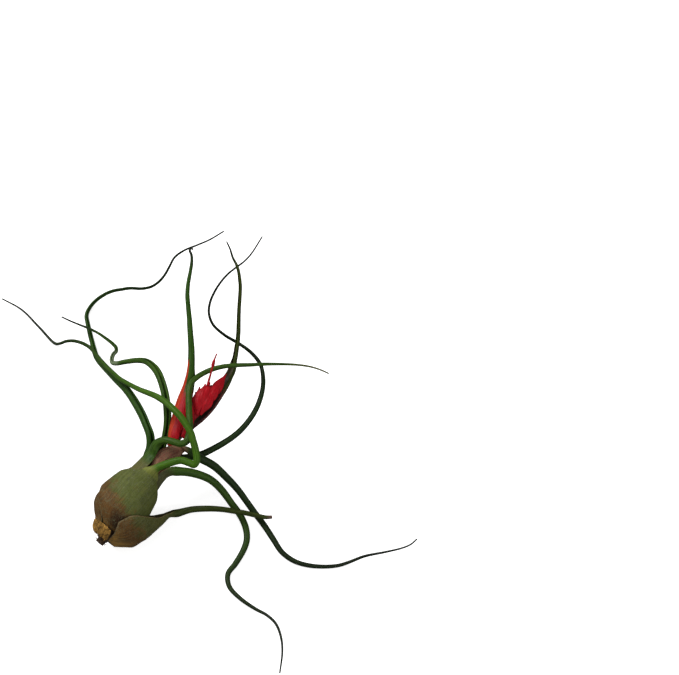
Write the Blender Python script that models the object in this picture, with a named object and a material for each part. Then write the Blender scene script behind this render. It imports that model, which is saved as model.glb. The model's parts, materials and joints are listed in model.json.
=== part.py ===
"""Bulbous air plant lying on a table: a swollen bulb of overlapping leaf sheaths, long rolled leaves,
two leafy bracts on the flower stalk and a red flower spike. Metres, +Z up, the table is z = 0."""

import math

import bmesh
import bpy
import numpy as np
from mathutils import Vector

MM = 0.001
PLANT = "bulbous_air_plant"

# The routes are drawn as the plant is seen from the front and above, in steps of half a millimetre
# to the right and down, with the height over the table in millimetres.
STEP = 0.5 * MM
VIEW_RISE = math.radians(60)
VIEW_DISTANCE = 1.3
DRAWING_CENTRE = (339.5, 337.5)
# Plan position of the flat spot under the bulb, measured from the point of the table in mid drawing.
SPOT = (-101.4 * MM, -104.9 * MM)

# The bulb: where its axis starts, how far it leans away from the viewer, and which way it points.
BULB_FOOT = (97.0, 535.0, 12.0)
BULB_LEAN = 0.16
BULB_HEADING = (0.643, 0.765)
# Sideways bend of the bulb's foot towards its lower right side.
FOOT_BEND = (
    (-3.0, 2.5), (0.0, 2.7), (3.2, 3.2), (6.2, 3.4), (8.5, 2.2), (11.0, 0.8), (14.0, 0.0), (60.0, 0.0),
)

SHEATH_WALL = 1.1
MARGIN_SHARE = 0.6
ROLL_LENGTH = 9.0
ROLL_HALF = math.radians(150)
ROLL_WALL_SHARE = 0.72
LONGEST_STRIDE = 7.5
LARGEST_TURN = math.radians(18)
OUTER_POINTS = 14
INNER_POINTS = 10


def smooth(t):
    t = min(1.0, max(0.0, t))
    return t * t * (3 - 2 * t)


def mix(a, b, t):
    return a + (b - a) * t


def table(rows, x, column=1):
    """Straight-line reading of a column in rows that are sorted by their first value."""
    return float(np.interp(x, [row[0] for row in rows], [row[column] for row in rows]))


def unit(v):
    v = np.asarray(v, float)
    return v / np.linalg.norm(v)


def from_drawing(right, down, height):
    """World place, in mm, of a point that is drawn at (right, down) and stands this high over the table."""
    a = (right - DRAWING_CENTRE[0]) * STEP
    b = (DRAWING_CENTRE[1] - down) * STEP
    z = height * MM
    nearer = (z - b * math.cos(VIEW_RISE)) / (math.sin(VIEW_RISE) - b * math.cos(VIEW_RISE) / VIEW_DISTANCE)
    share = 1 - nearer / VIEW_DISTANCE
    y = b * share * math.sin(VIEW_RISE) - nearer * math.cos(VIEW_RISE)
    return np.array([(a * share - SPOT[0]) / MM, (y - SPOT[1]) / MM, height])


FOOT = from_drawing(*BULB_FOOT)
TO_VIEWER = np.array([0.0, -math.cos(VIEW_RISE), math.sin(VIEW_RISE)])
UPWARDS = np.array([0.0, math.sin(VIEW_RISE), math.cos(VIEW_RISE)])
AXIS = unit(BULB_HEADING[0] * np.array([1.0, 0, 0]) + BULB_HEADING[1] * UPWARDS - BULB_LEAN * TO_VIEWER)
FACE = unit(TO_VIEWER - AXIS * np.dot(TO_VIEWER, AXIS))
SIDE = np.cross(AXIS, FACE)


def round_the_bulb(degrees):
    """Direction out of the bulb's axis: 0 faces the viewer, 90 is the lower right side."""
    angle = math.radians(degrees)
    return FACE * math.cos(angle) + SIDE * math.sin(angle)


def on_axis(along):
    return FOOT + AXIS * along + SIDE * table(FOOT_BEND, along)


def spline(points, per_span=24):
    """Dense points of a centripetal Catmull-Rom curve through the given ones."""
    pts = [np.asarray(p, float) for p in points]
    pts = [2 * pts[0] - pts[1]] + pts + [2 * pts[-1] - pts[-2]]
    dense = []
    for i in range(1, len(pts) - 2):
        p0, p1, p2, p3 = pts[i - 1: i + 3]
        t1 = np.linalg.norm(p1 - p0) ** 0.5
        t2 = t1 + np.linalg.norm(p2 - p1) ** 0.5
        t3 = t2 + np.linalg.norm(p3 - p2) ** 0.5
        for t in np.linspace(t1, t2, per_span, endpoint=False):
            a1 = p0 * (t1 - t) / t1 + p1 * t / t1
            a2 = p1 * (t2 - t) / (t2 - t1) + p2 * (t - t1) / (t2 - t1)
            a3 = p2 * (t3 - t) / (t3 - t2) + p3 * (t - t2) / (t3 - t2)
            b1 = a1 * (t2 - t) / t2 + a2 * t / t2
            b2 = a2 * (t3 - t) / (t3 - t1) + a3 * (t - t1) / (t3 - t1)
            dense.append(b1 * (t2 - t) / (t2 - t1) + b2 * (t - t1) / (t2 - t1))
    dense.append(pts[-2])
    return np.array(dense)


def strides(dense, first=0.0):
    """Places along dense points, close together in bends: (distance, point, tangent) of each."""
    legs = np.linalg.norm(np.diff(dense, axis=0), axis=1)
    gone = np.concatenate([[0.0], np.cumsum(legs)])
    tangents = np.gradient(dense, gone, axis=0)
    tangents /= np.linalg.norm(tangents, axis=1)[:, None]
    places = []
    load = 1.0
    for i in range(len(dense)):
        if i:
            turn = math.acos(max(-1.0, min(1.0, float(np.dot(tangents[i], tangents[i - 1])))))
            load += legs[i - 1] / LONGEST_STRIDE + turn / LARGEST_TURN
        if gone[i] < first:
            continue
        if load >= 1.0 or i == len(dense) - 1:
            if places and i == len(dense) - 1 and gone[i] - places[-1][0] < 1.0:
                places.pop()
            places.append((gone[i], dense[i], tangents[i]))
            load = 0.0
    return places


def turned_along(normal, before, after):
    """The normal carried from one tangent to the next without twist."""
    normal = np.array(Vector(before).rotation_difference(Vector(after)) @ Vector(normal))
    return unit(normal - after * np.dot(normal, after))


def crescent(centre, tangent, normal, radius, half, wall, shift, outer, inner):
    """Points of one section: an arc of this radius and half angle with a wall, thinner at its margins."""
    across = np.cross(tangent, normal)
    points = []
    for angle in np.linspace(-half, half, outer):
        out = radius * math.cos(angle) - shift
        points.append(centre + normal * out + across * radius * math.sin(angle))
    for angle in np.linspace(half, -half, inner):
        depth = radius - wall * (1 - (1 - MARGIN_SHARE) * (angle / half) ** 2)
        out = depth * math.cos(angle) - shift
        points.append(centre + normal * out + across * depth * math.sin(angle))
    return points


def skin(rings):
    """Faces between rings; a ring may hold half as many points as the one before it."""
    points = [p for ring in rings for p in ring]
    faces = [list(range(len(rings[0])))[::-1]]
    start = 0
    for ring, after in zip(rings, rings[1:]):
        n, m = len(ring), len(after)
        here, there = start, start + n
        for i in range(m):
            j = (i + 1) % m
            if n == m:
                faces.append((here + i, here + j, there + j, there + i))
                continue
            mid, last = here + 2 * i + 1, here + (2 * i + 2) % n
            faces.append((here + 2 * i, mid, there + i))
            faces.append((mid, there + j, there + i))
            faces.append((mid, last, there + j))
        start = there
    faces.append(list(range(start, start + len(rings[-1]))))
    return points, faces


def plain_material(name, colour, roughness):
    material = bpy.data.materials.new(name)
    material.use_nodes = True
    shader = material.node_tree.nodes["Principled BSDF"]
    shader.inputs["Base Color"].default_value = (*colour, 1.0)
    shader.inputs["Roughness"].default_value = roughness
    material.diffuse_color = (*colour, 1.0)
    return material


def plant_collection():
    """The collection that holds the plant's pieces, made when it is first asked for."""
    plant = bpy.data.collections.get(PLANT)
    if plant is None:
        plant = bpy.data.collections.new(PLANT)
        bpy.context.scene.collection.children.link(plant)
    return plant


def solid(name, points, faces, colour, roughness=0.55):
    mesh = bpy.data.meshes.new(name)
    mesh.from_pydata([tuple(p * MM) for p in np.asarray(points)], [], faces)
    work = bmesh.new()
    work.from_mesh(mesh)
    bmesh.ops.recalc_face_normals(work, faces=work.faces[:])
    if work.calc_volume(signed=True) < 0:
        bmesh.ops.reverse_faces(work, faces=work.faces[:])
    work.to_mesh(mesh)
    work.free()
    obj = bpy.data.objects.new(name, mesh)
    plant_collection().objects.link(obj)
    mesh.materials.append(plain_material(name + "_finish", colour, roughness))
    return obj


def sheath_rings(rows):
    """Rings of a sheath round the bulb. Rows: along, heading, half angle, outer and arc radius, wall."""
    rings = []
    for along, heading, half, reach, arc, wall in rows:
        normal = round_the_bulb(heading)
        centre = on_axis(along) + normal * (reach - arc)
        rings.append(
            crescent(centre, AXIS, normal, arc, math.radians(half), wall, 0.0, OUTER_POINTS, INNER_POINTS)
        )
    return rings


def finer_rows(rows, spacing=3.4):
    """The same sheath read at even steps along the axis, with smooth values between the given rows."""
    full = [row if len(row) == 6 else (*row, SHEATH_WALL) for row in rows]
    dense = spline(full, 12)
    count = max(3, round((rows[-1][0] - rows[0][0]) / spacing))
    wanted = np.linspace(rows[0][0], rows[-1][0], count + 1)
    return [[float(np.interp(a, dense[:, 0], dense[:, k])) for k in range(6)] for a in wanted]


def blade_rings(route, radii, start, roll=ROLL_LENGTH):
    """Rings of the rolled blade. start: tangent, normal, arc radius, half angle, wall at the sheath's end."""
    tangent, normal, arc, half, wall = start
    dense = spline(route)
    places = strides(dense)
    length = places[-1][0]
    rings = []
    before = unit(tangent)
    for gone, point, along in places[1:]:
        turned = unit(mix(np.asarray(tangent), along, smooth(gone / 6.0)))
        normal = turned_along(normal, before, turned)
        before = turned
        share = smooth(gone / roll)
        radius = table(radii, gone / length)
        bent = 1 / mix(1 / arc, 1 / radius, share)
        reach = mix(arc * half, radius * ROLL_HALF, share)
        skin_wall = mix(wall, ROLL_WALL_SHARE * radius, share)
        shift = mix(bent - skin_wall / 2, 0.0, share)
        count = (OUTER_POINTS, INNER_POINTS) if gone < roll else (OUTER_POINTS // 2, INNER_POINTS // 2)
        half_now = min(ROLL_HALF, reach / bent)
        rings.append(crescent(point, turned, normal, bent, half_now, skin_wall, shift, *count))
    return rings


def leaf(name, sheath, route, radii, colour, roll=ROLL_LENGTH):
    """A leaf of the bulb: its sheath about the axis, then its blade along the drawn route."""
    rows = finer_rows(sheath)
    along, heading, half, reach, arc, wall = rows[-1]
    outward = round_the_bulb(heading)
    way = [on_axis(along) + outward * (reach - wall / 2)] + [from_drawing(*p) for p in route]
    start = (AXIS, outward, arc, math.radians(half), wall)
    rings = sheath_rings(rows) + blade_rings(way, radii, start, roll)
    return solid(name, *skin(rings), colour)


def rest_flat(obj):
    """Cuts off what would sink into the table, which leaves a small flat spot to rest on."""
    work = bmesh.new()
    work.from_mesh(obj.data)
    parts = work.verts[:] + work.edges[:] + work.faces[:]
    cut = bmesh.ops.bisect_plane(
        work, geom=parts, plane_co=(0, 0, 0), plane_no=(0, 0, -1), clear_outer=True
    )
    rim = [item for item in cut["geom_cut"] if isinstance(item, bmesh.types.BMEdge)]
    bmesh.ops.contextual_create(work, geom=rim)
    bmesh.ops.recalc_face_normals(work, faces=work.faces[:])
    work.to_mesh(obj.data)
    work.free()


GREEN = (0.075, 0.16, 0.035)
BRIGHT_GREEN = (0.12, 0.26, 0.03)
OLIVE = (0.16, 0.19, 0.09)
RUST = (0.20, 0.10, 0.06)
PINK = (0.30, 0.11, 0.10)
RED = (0.55, 0.015, 0.03)
ORANGE_RED = (0.60, 0.06, 0.03)
STRAW = (0.42, 0.24, 0.09)
BARK = (0.07, 0.035, 0.02)


def make_leaf_1():
    """Outermost, lowest leaf: a wide spoon under the bulb's right side, a short blade with a blunt tip.
    The sixth value of its rows is the wall, thicker where the flat spot is cut."""
    sheath = (
        (1.0, 104, 76, 6.9, 6.9, 1.1), (4.0, 101, 87, 10.4, 10.2, 1.3), (8.0, 98, 93, 15.0, 13.4, 1.9),
        (13.0, 98, 94, 18.8, 14.9, 2.0), (18.0, 99, 87, 19.9, 14.4, 2.0), (22.0, 100, 73, 20.5, 11.6, 1.6),
        (25.5, 101, 60, 21.0, 8.4, 1.1), (28.5, 101, 64, 21.2, 4.6, 1.1),
    )
    route = (
        (172, 515.5, 9.2), (180, 512.5, 9.8), (191.5, 509.4, 10.4), (206.8, 508.5, 10.8),
        (222, 509.2, 10.6), (233.6, 511.0, 10.0), (245, 512.8, 9.2), (256.5, 515.5, 8.3),
        (265.7, 517.2, 7.4), (272, 517, 6.8),
    )
    radii = ((0.0, 2.1), (0.2, 1.65), (0.6, 1.35), (0.9, 1.15), (1.0, 0.85))
    obj = leaf("leaf_1", sheath, route, radii, OLIVE, 7.0)
    rest_flat(obj)
    return obj


def make_leaf_6():
    """Leaf of the large front sheath: it loops over the neck and ends far to the left."""
    sheath = (
        (6.0, 2, 30, 10.2, 10.4), (9.0, 1, 35, 12.0, 12.4), (12.0, -3, 44, 13.0, 13.5),
        (16.0, 0, 62, 13.6, 14.2), (20.0, 0, 76, 13.3, 13.9), (24.0, 0, 84, 12.5, 13.0),
        (29.0, 0, 82, 11.4, 11.8), (32.0, 2, 68, 10.7, 11.0), (34.5, 4, 52, 10.0, 10.0),
        (36.8, 6, 40, 9.5, 7.4),
    )
    route = (
        (156.0, 468.6, 30.6), (168.3, 463.5, 33.0), (181.0, 460.4, 34.6), (189.6, 463.0, 35.0),
        (194.0, 464.6, 35.0), (196.6, 461.0, 36.2), (196.3, 454.0, 37.5), (195.2, 448.5, 38.8),
        (193.1, 440.6, 41.0), (190.9, 433.0, 42.8), (186.1, 424.6, 44.5), (179.7, 415.7, 45.5),
        (172.1, 408.0, 45.5), (165.7, 402.3, 44.5), (156.8, 396.6, 42.0), (147.9, 392.8, 38.5),
        (139.6, 389.6, 35.0), (128.9, 384.1, 30.0), (119.7, 378.7, 26.0), (109.7, 369.6, 20.5),
        (101.3, 361.1, 15.5), (95.2, 353.5, 12.0), (90.6, 348.1, 9.8), (83.0, 343.5, 7.0),
        (73.8, 340.9, 4.4), (66.1, 341.3, 2.8), (60.0, 343.5, 2.0), (55.5, 343.6, 1.5),
        (39.0, 327.0, 1.2), (21.6, 309.6, 1.6), (2.2, 298.8, 3.0),
    )
    radii = (
        (0.0, 1.9), (0.1, 1.75), (0.3, 1.6), (0.45, 1.15), (0.6, 1.05), (0.75, 0.85), (0.86, 0.6),
        (1.0, 0.36),
    )
    return leaf("leaf_6", sheath, route, radii, BRIGHT_GREEN, 6.0)


def make_leaf_5():
    """Leaf of the sheath on the bulb's left and back: a thick blade that sinks to the table, far left."""
    sheath = (
        (1.5, -130, 70, 5.9, 5.7), (4.0, -130, 92, 8.0, 7.6), (8.0, -130, 96, 11.2, 10.1),
        (13.0, -130, 88, 12.8, 11.3), (20.0, -130, 78, 13.0, 11.5), (26.0, -137, 64, 11.9, 10.6),
        (30.0, -141, 48, 11.0, 9.8), (34.0, -142, 38, 9.9, 8.5), (38.0, -142, 35, 8.8, 7.0),
        (42.0, -137, 34, 8.1, 5.4),
    )
    route = (
        (150.2, 448.0, 24.0), (150.2, 436.0, 27.0), (146.2, 424.6, 27.8), (140.2, 411.0, 26.5),
        (131.5, 396.5, 23.5), (125.0, 387.9, 21.0), (117.4, 380.3, 17.5), (107.0, 369.5, 12.5),
        (99.5, 361.5, 8.5), (96.0, 355.8, 6.2), (92.9, 345.1, 3.6), (89.8, 332.8, 1.9),
        (87.9, 324.4, 1.35), (86.6, 315.2, 1.4), (89.8, 307.6, 1.7), (96.7, 299.9, 2.4),
        (105.9, 293.8, 3.4), (113.6, 290.8, 4.4), (121.0, 289.5, 5.5), (130.0, 288.2, 7.0),
        (142.0, 288.6, 9.0), (151.5, 286.6, 10.5), (159.0, 281.6, 12.0), (165.0, 274.5, 13.5),
        (169.5, 266.5, 15.0), (174.5, 257.5, 17.0), (184.0, 250.5, 19.0), (196.6, 245.3, 21.0),
        (210.0, 239.5, 22.5), (224.0, 231.1, 24.0),
    )
    radii = (
        (0.0, 2.1), (0.15, 2.05), (0.3, 1.8), (0.42, 1.35), (0.5, 1.2), (0.6, 0.95), (0.8, 0.65),
        (1.0, 0.36),
    )
    return leaf("leaf_5", sheath, route, radii, GREEN)


def make_leaf_2():
    """Leaf from the right of the neck: arches over and runs along the table towards the viewer."""
    sheath = (
        (14.0, 75, 48, 11.2, 11.2), (20.0, 75, 55, 11.4, 11.4), (26.0, 75, 54, 10.2, 10.2),
        (32.5, 74, 50, 8.8, 8.8), (38.0, 70, 46, 8.1, 7.4), (42.0, 67, 46, 8.1, 5.8),
    )
    route = (
        (171.5, 472.8, 23.6), (182.0, 471.6, 23.4), (195.3, 473.7, 21.5), (210.6, 479.8, 17.5),
        (222.1, 490.5, 12.0), (232.0, 504.0, 7.0), (240.4, 515.5, 4.2), (245.8, 528.0, 2.4),
        (246.8, 539.5, 1.7), (243.5, 550.0, 1.55), (235.3, 563.9, 1.5), (228.0, 574.0, 1.5),
        (229.2, 586.3, 1.8), (240.0, 598.2, 2.6), (254.9, 608.6, 3.6), (267.5, 615.6, 4.6),
        (276.0, 624.0, 5.4), (281.2, 638.2, 6.2), (282.3, 652.2, 6.8), (279.8, 673.0, 7.6),
    )
    radii = (
        (0.0, 2.2), (0.12, 1.95), (0.3, 1.65), (0.5, 1.45), (0.62, 1.1), (0.76, 0.75), (0.86, 0.6),
        (1.0, 0.36),
    )
    return leaf("leaf_2", sheath, route, radii, GREEN)


def make_leaf_3():
    """Leaf of the pink bract in front of the neck: falls to the right and runs out along the table."""
    sheath = (
        (22.0, 42, 34, 9.5, 9.5), (28.0, 40, 36, 8.3, 8.3), (34.0, 36, 38, 7.2, 7.2),
        (40.0, 28, 42, 6.3, 6.1), (46.0, 14, 50, 6.3, 5.6), (50.0, 20, 60, 6.6, 5.4),
        (54.0, 38, 60, 6.8, 5.0), (57.0, 56, 60, 6.7, 4.2),
    )
    route = (
        (188.5, 452.6, 27.6), (195.5, 456.4, 27.0), (203.0, 459.8, 25.5), (214.4, 466.2, 21.5),
        (225.9, 476.9, 16.5), (237.4, 489.2, 11.5), (247.3, 502.5, 7.2), (255.0, 513.2, 4.6),
        (264.4, 525.6, 3.0), (273.4, 539.5, 2.2), (281.8, 552.0, 1.7), (294.2, 561.0, 1.4),
        (308.2, 565.3, 1.25), (325.0, 566.6, 1.2), (339.1, 565.3, 1.3), (350.3, 561.7, 1.7),
        (364.3, 556.3, 2.6), (385.4, 552.0, 4.5), (402.2, 548.0, 6.3), (411.0, 544.2, 7.3),
        (417.0, 539.0, 8.2),
    )
    radii = (
        (0.0, 2.3), (0.1, 2.0), (0.25, 1.65), (0.45, 1.45), (0.62, 1.1), (0.78, 0.75), (0.9, 0.5),
        (1.0, 0.36),
    )
    return leaf("leaf_3", sheath, route, radii, PINK, 6.0)


def make_leaf_4():
    """Leaf from the back of the neck: runs right behind leaf 3, then climbs and curls back over itself."""
    sheath = (
        (22.0, 136, 40, 9.5, 9.5), (28.0, 134, 42, 8.3, 8.3), (34.0, 132, 40, 7.2, 7.2),
        (40.0, 129, 36, 6.1, 5.9), (46.0, 124, 42, 5.8, 4.6), (50.0, 121, 50, 5.8, 3.8),
    )
    route = (
        (178.0, 458.8, 19.2), (188.0, 457.4, 18.2), (200.0, 454.8, 18.0), (212.9, 448.9, 18.5),
        (230.3, 438.6, 20.0), (240.4, 430.4, 21.5), (249.5, 419.7, 23.0), (256.1, 408.9, 24.0),
        (260.7, 397.2, 24.8), (262.9, 387.0, 25.0), (263.0, 376.0, 24.8), (260.2, 364.0, 24.5),
        (251.0, 352.5, 24.5), (239.0, 343.6, 25.0), (224.5, 335.0, 26.0), (213.0, 324.5, 27.5),
        (208.9, 313.0, 29.0), (210.2, 302.0, 30.5), (214.8, 291.4, 32.0), (220.7, 282.2, 33.0),
        (227.9, 274.0, 34.0), (235.8, 267.6, 35.0), (244.0, 261.6, 36.0), (251.4, 253.6, 37.0),
        (262.3, 236.5, 38.5),
    )
    radii = ((0.0, 1.9), (0.12, 1.6), (0.3, 1.35), (0.45, 1.0), (0.65, 0.7), (0.85, 0.5), (1.0, 0.34))
    return leaf("leaf_4", sheath, route, radii, GREEN, 7.0)


def make_leaf_7():
    """Leaf from behind the neck: climbs behind leaf 8, turns left and ends with a kink at the far left."""
    sheath = (
        (24.0, -148, 24, 9.4, 9.4), (30.0, -149, 26, 8.2, 8.2), (36.0, -156, 26, 6.8, 6.8),
        (42.0, -163, 28, 5.8, 5.2), (47.0, -168, 34, 5.6, 4.2),
    )
    route = (
        (161.0, 451.5, 20.5), (163.0, 444.5, 22.8), (165.5, 436.0, 25.5), (167.2, 424.6, 28.5),
        (167.4, 412.0, 31.5), (166.0, 399.0, 34.0), (162.7, 385.0, 34.5), (157.9, 372.8, 33.0),
        (151.8, 365.2, 30.5), (145.2, 361.2, 27.5), (136.5, 360.4, 24.0), (125.0, 361.8, 20.0),
        (116.5, 363.4, 17.2), (112.6, 362.6, 15.8), (111.8, 358.8, 15.0), (113.6, 354.0, 14.0),
        (116.2, 351.0, 13.2), (116.0, 347.6, 12.6), (112.5, 343.6, 12.0), (105.9, 338.4, 10.6),
        (98.3, 333.2, 9.2), (90.6, 329.2, 8.0), (79.1, 324.6, 7.0), (69.5, 320.6, 6.6),
        (61.5, 316.8, 6.6),
    )
    radii = (
        (0.0, 1.7), (0.1, 1.8), (0.25, 1.95), (0.38, 1.9), (0.5, 1.35), (0.65, 1.1), (0.8, 0.75),
        (0.92, 0.5), (1.0, 0.36),
    )
    return leaf("leaf_7", sheath, route, radii, GREEN, 7.0)


def make_leaf_8():
    """Leaf from the top of the neck: arches over the pink bract, climbs and turns off to the right."""
    sheath = (
        (22.0, -54, 40, 9.8, 9.8), (28.0, -54, 40, 9.0, 9.0), (33.0, -57, 40, 8.55, 8.55),
        (38.0, -56, 37, 8.1, 7.8), (42.0, -53, 40, 8.1, 6.6), (45.5, -53, 48, 7.9, 4.8),
    )
    route = (
        (152.4, 448.8, 30.6), (157.0, 443.2, 33.0), (164.4, 440.2, 35.5), (173.4, 441.8, 36.8),
        (181.0, 443.6, 37.0), (186.4, 441.4, 37.0), (188.9, 435.5, 37.0), (189.9, 427.0, 36.8),
        (189.3, 416.0, 37.2), (188.7, 404.0, 38.0), (188.9, 391.5, 38.6), (191.0, 383.4, 38.6),
        (197.0, 377.2, 38.0), (205.4, 372.2, 37.2), (213.8, 368.8, 36.8), (224.0, 366.4, 36.8),
        (238.0, 365.2, 35.8), (251.0, 364.8, 33.5), (262.5, 364.2, 30.8), (280.4, 364.1, 26.0),
        (298.2, 364.9, 20.5), (311.6, 367.0, 16.5), (322.4, 370.6, 13.0), (328.6, 373.5, 11.0),
    )
    radii = (
        (0.0, 2.1), (0.1, 1.7), (0.25, 1.6), (0.4, 1.45), (0.55, 1.15), (0.7, 0.85), (0.85, 0.55),
        (1.0, 0.36),
    )
    return leaf("leaf_8", sheath, route, radii, GREEN)


def make_stem():
    """The short stem in the bulb, with the dry root stub below and the flower stalk above."""
    rows = (
        (0.8, 0.9, 0.6), (-2.0, 1.1, 0.8), (-2.3, 2.0, 0.8), (-0.6, 2.2, 0.6), (0.6, 3.0, 0.2),
        (3.0, 4.4, 0.0), (8.0, 7.0, 0.0), (14.0, 8.1, 0.0), (21.0, 7.9, 0.0), (27.0, 6.8, 0.0),
        (33.0, 5.5, 0.0), (38.0, 4.2, 0.0), (43.0, 2.7, 0.0), (48.0, 1.7, 0.0),
    )
    rings = []
    for along, radius, aside in rows:
        centre = on_axis(along) + SIDE * aside
        rings.append([centre + round_the_bulb(i * 22.5) * radius for i in range(16)])
    way = [on_axis(48.0), on_axis(54.0), from_drawing(177.0, 439.0, 28.5), from_drawing(187.0, 428.0, 30.2),
           from_drawing(192.2, 421.4, 31.2)]
    before, normal = AXIS, round_the_bulb(0)
    for gone, point, along in strides(spline(way))[1:]:
        normal = turned_along(normal, before, along)
        before = along
        across = np.cross(along, normal)
        ring = []
        for i in range(16):
            angle = math.radians(-i * 22.5)
            ring.append(point + (normal * math.cos(angle) + across * math.sin(angle)) * 1.6)
        rings.append(ring)
    return solid("stem", *skin(rings), BARK, 0.8)


def bract(name, route, shape, outward, colour, roughness=0.5, outer=OUTER_POINTS, inner=INNER_POINTS):
    """A leafy bract or a petal-like one. Shape rows: share of the length, arc radius, half width, wall, and
    how far the drawn route lies at the centre of the arc (1) and not in its wall (0). The first row ends
    with the share of the length up to which the sections have all their points."""
    before = None
    rings = []
    places = strides(spline([from_drawing(*p) for p in route]))
    for gone, point, along in places:
        share = gone / places[-1][0]
        if before is None:
            normal = unit(outward - along * np.dot(outward, along))
        else:
            normal = turned_along(normal, before, along)
        before = along
        arc = table(shape, share, 1)
        wall = table(shape, share, 3)
        shift = (arc - wall / 2) * (1 - table(shape, share, 4))
        half = min(ROLL_HALF, table(shape, share, 2) / arc)
        fine = share < shape[0][5]
        count = (outer, inner) if fine else (outer // 2, inner // 2)
        rings.append(crescent(point, along, normal, arc, half, wall, shift, *count))
    points, faces = skin(rings)
    return solid(name, points, faces, colour, roughness)


def make_scape_leaf_left():
    """Leafy bract on the viewer's side of the stalk: red and wide below, then a rolled blade."""
    route = (
        (170.4, 446.5, 28.6), (172.6, 438.0, 31.8), (174.2, 430.0, 32.9), (177.4, 420.0, 33.6),
        (180.6, 408.0, 34.4),
        (184.3, 396.0, 35.0), (187.6, 385.0, 35.4), (190.2, 375.0, 36.6), (191.2, 365.0, 38.0),
        (191.4, 351.0, 40.0), (190.6, 337.0, 42.2), (189.6, 322.0, 44.4), (188.2, 306.5, 46.6),
        (187.4, 295.0, 48.4), (188.2, 283.5, 50.2), (190.3, 272.0, 52.2), (191.8, 261.0, 54.0),
        (191.4, 254.6, 55.0), (189.8, 250.6, 55.6), (190.6, 247.6, 56.0), (193.0, 249.6, 56.2),
    )
    shape = (
        (0.0, 3.4, 2.1, 0.9, 0.0, 0.39), (0.047, 4.4, 3.0, 0.9, 0.0), (0.143, 5.4, 4.4, 0.9, 0.0),
        (0.238, 5.0, 4.5, 0.9, 0.0), (0.314, 3.0, 4.3, 1.0, 0.2), (0.4, 1.8, 4.5, 1.3, 1.0),
        (0.524, 1.5, 3.93, 1.08, 1.0), (0.714, 1.15, 3.0, 0.83, 1.0), (0.886, 0.85, 2.2, 0.6, 1.0),
        (1.0, 0.5, 1.3, 0.36, 1.0),
    )
    outward = unit(TO_VIEWER * 0.9 + np.array([-0.35, 0.0, 0.0]))
    return bract("scape_leaf_left", route, shape, outward, ORANGE_RED)


def make_scape_leaf_right():
    """Leafy bract that cradles the spike from the right: maroon below, with a thin blade that hooks left."""
    route = (
        (189.2, 432.0, 28.3), (193.6, 427.2, 29.1), (200.2, 421.8, 29.0), (207.5, 414.6, 28.8),
        (214.0, 406.4, 29.0), (219.0, 398.6, 29.2), (225.3, 388.2, 29.4), (230.2, 378.0, 29.8),
        (232.8, 369.5, 30.2), (234.0, 362.0, 31.0), (235.4, 355.5, 32.0), (236.5, 348.5, 33.2),
        (237.7, 340.8, 34.6), (238.4, 332.7, 36.0), (238.7, 320.4, 38.4), (239.0, 310.2, 40.4),
        (239.9, 296.0, 43.0), (240.3, 286.0, 44.6), (239.6, 278.4, 45.6), (238.4, 270.7, 46.4),
        (236.4, 264.6, 46.8), (232.8, 257.6, 47.0), (230.2, 249.3, 46.8), (226.6, 241.6, 46.2),
    )
    shape = (
        (0.0, 2.4, 2.2, 0.9, 0.0, 0.42), (0.08, 3.8, 3.6, 0.9, 0.0), (0.16, 5.0, 5.2, 0.9, 0.0),
        (0.25, 5.0, 5.4, 0.9, 0.0), (0.33, 3.2, 4.4, 0.9, 0.1), (0.42, 1.3, 3.4, 0.95, 1.0),
        (0.6, 1.0, 2.62, 0.72, 1.0), (0.8, 0.85, 2.2, 0.6, 1.0), (0.9, 0.6, 1.57, 0.43, 1.0),
        (1.0, 0.34, 0.89, 0.25, 1.0),
    )
    outward = unit(TO_VIEWER * -0.45 + 0.85 * (np.array([0.84, 0.0, 0.0]) - 0.54 * UPWARDS))
    return bract("scape_leaf_right", route, shape, outward, (0.12, 0.10, 0.035))


def make_stalk_bract():
    """Short crimson bract on the flower stalk, beside the left leafy bract."""
    route = (
        (182.6, 438.0, 30.9), (185.6, 433.0, 31.8), (188.8, 427.0, 32.8), (190.8, 420.0, 34.0),
        (191.4, 411.0, 35.0), (191.6, 402.0, 35.6),
    )
    shape = (
        (0.0, 2.8, 2.4, 0.8, 0.0, 2.0), (0.35, 3.0, 2.6, 0.8, 0.0), (0.7, 2.6, 1.6, 0.75, 0.0),
        (1.0, 1.2, 0.45, 0.7, 0.0),
    )
    outward = unit(TO_VIEWER * 0.9 + np.array([0.25, 0.0, 0.0]))
    return bract("stalk_bract", route, shape, outward, RED, 0.45, 10, 8)


SPIKE_BRACTS = (
    # base of the bract, its tip (both right, down, height), half width, and which way its back faces
    ((197.6, 415.5, 32.6), (195.8, 392.0, 35.0), 2.9, 1),
    ((197.0, 415.0, 33.2), (199.6, 387.0, 35.6), 3.0, 1),
    ((198.5, 410.0, 33.8), (205.4, 384.0, 36.4), 3.1, 1),
    ((201.0, 405.0, 33.8), (210.0, 382.4, 35.8), 2.9, 1),
    ((200.5, 415.0, 32.6), (213.0, 389.0, 35.2), 3.0, 1),
    ((204.0, 408.0, 33.2), (219.6, 381.0, 34.6), 2.9, 1),
    ((207.5, 402.0, 32.8), (226.3, 374.0, 33.8), 2.6, 1),
    ((198.0, 414.0, 31.0), (202.0, 389.0, 31.8), 3.0, -1),
    ((201.5, 408.0, 31.0), (211.6, 384.8, 31.8), 2.9, -1),
    ((206.0, 403.0, 31.0), (220.6, 383.6, 31.8), 2.6, -1),
)


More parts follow.
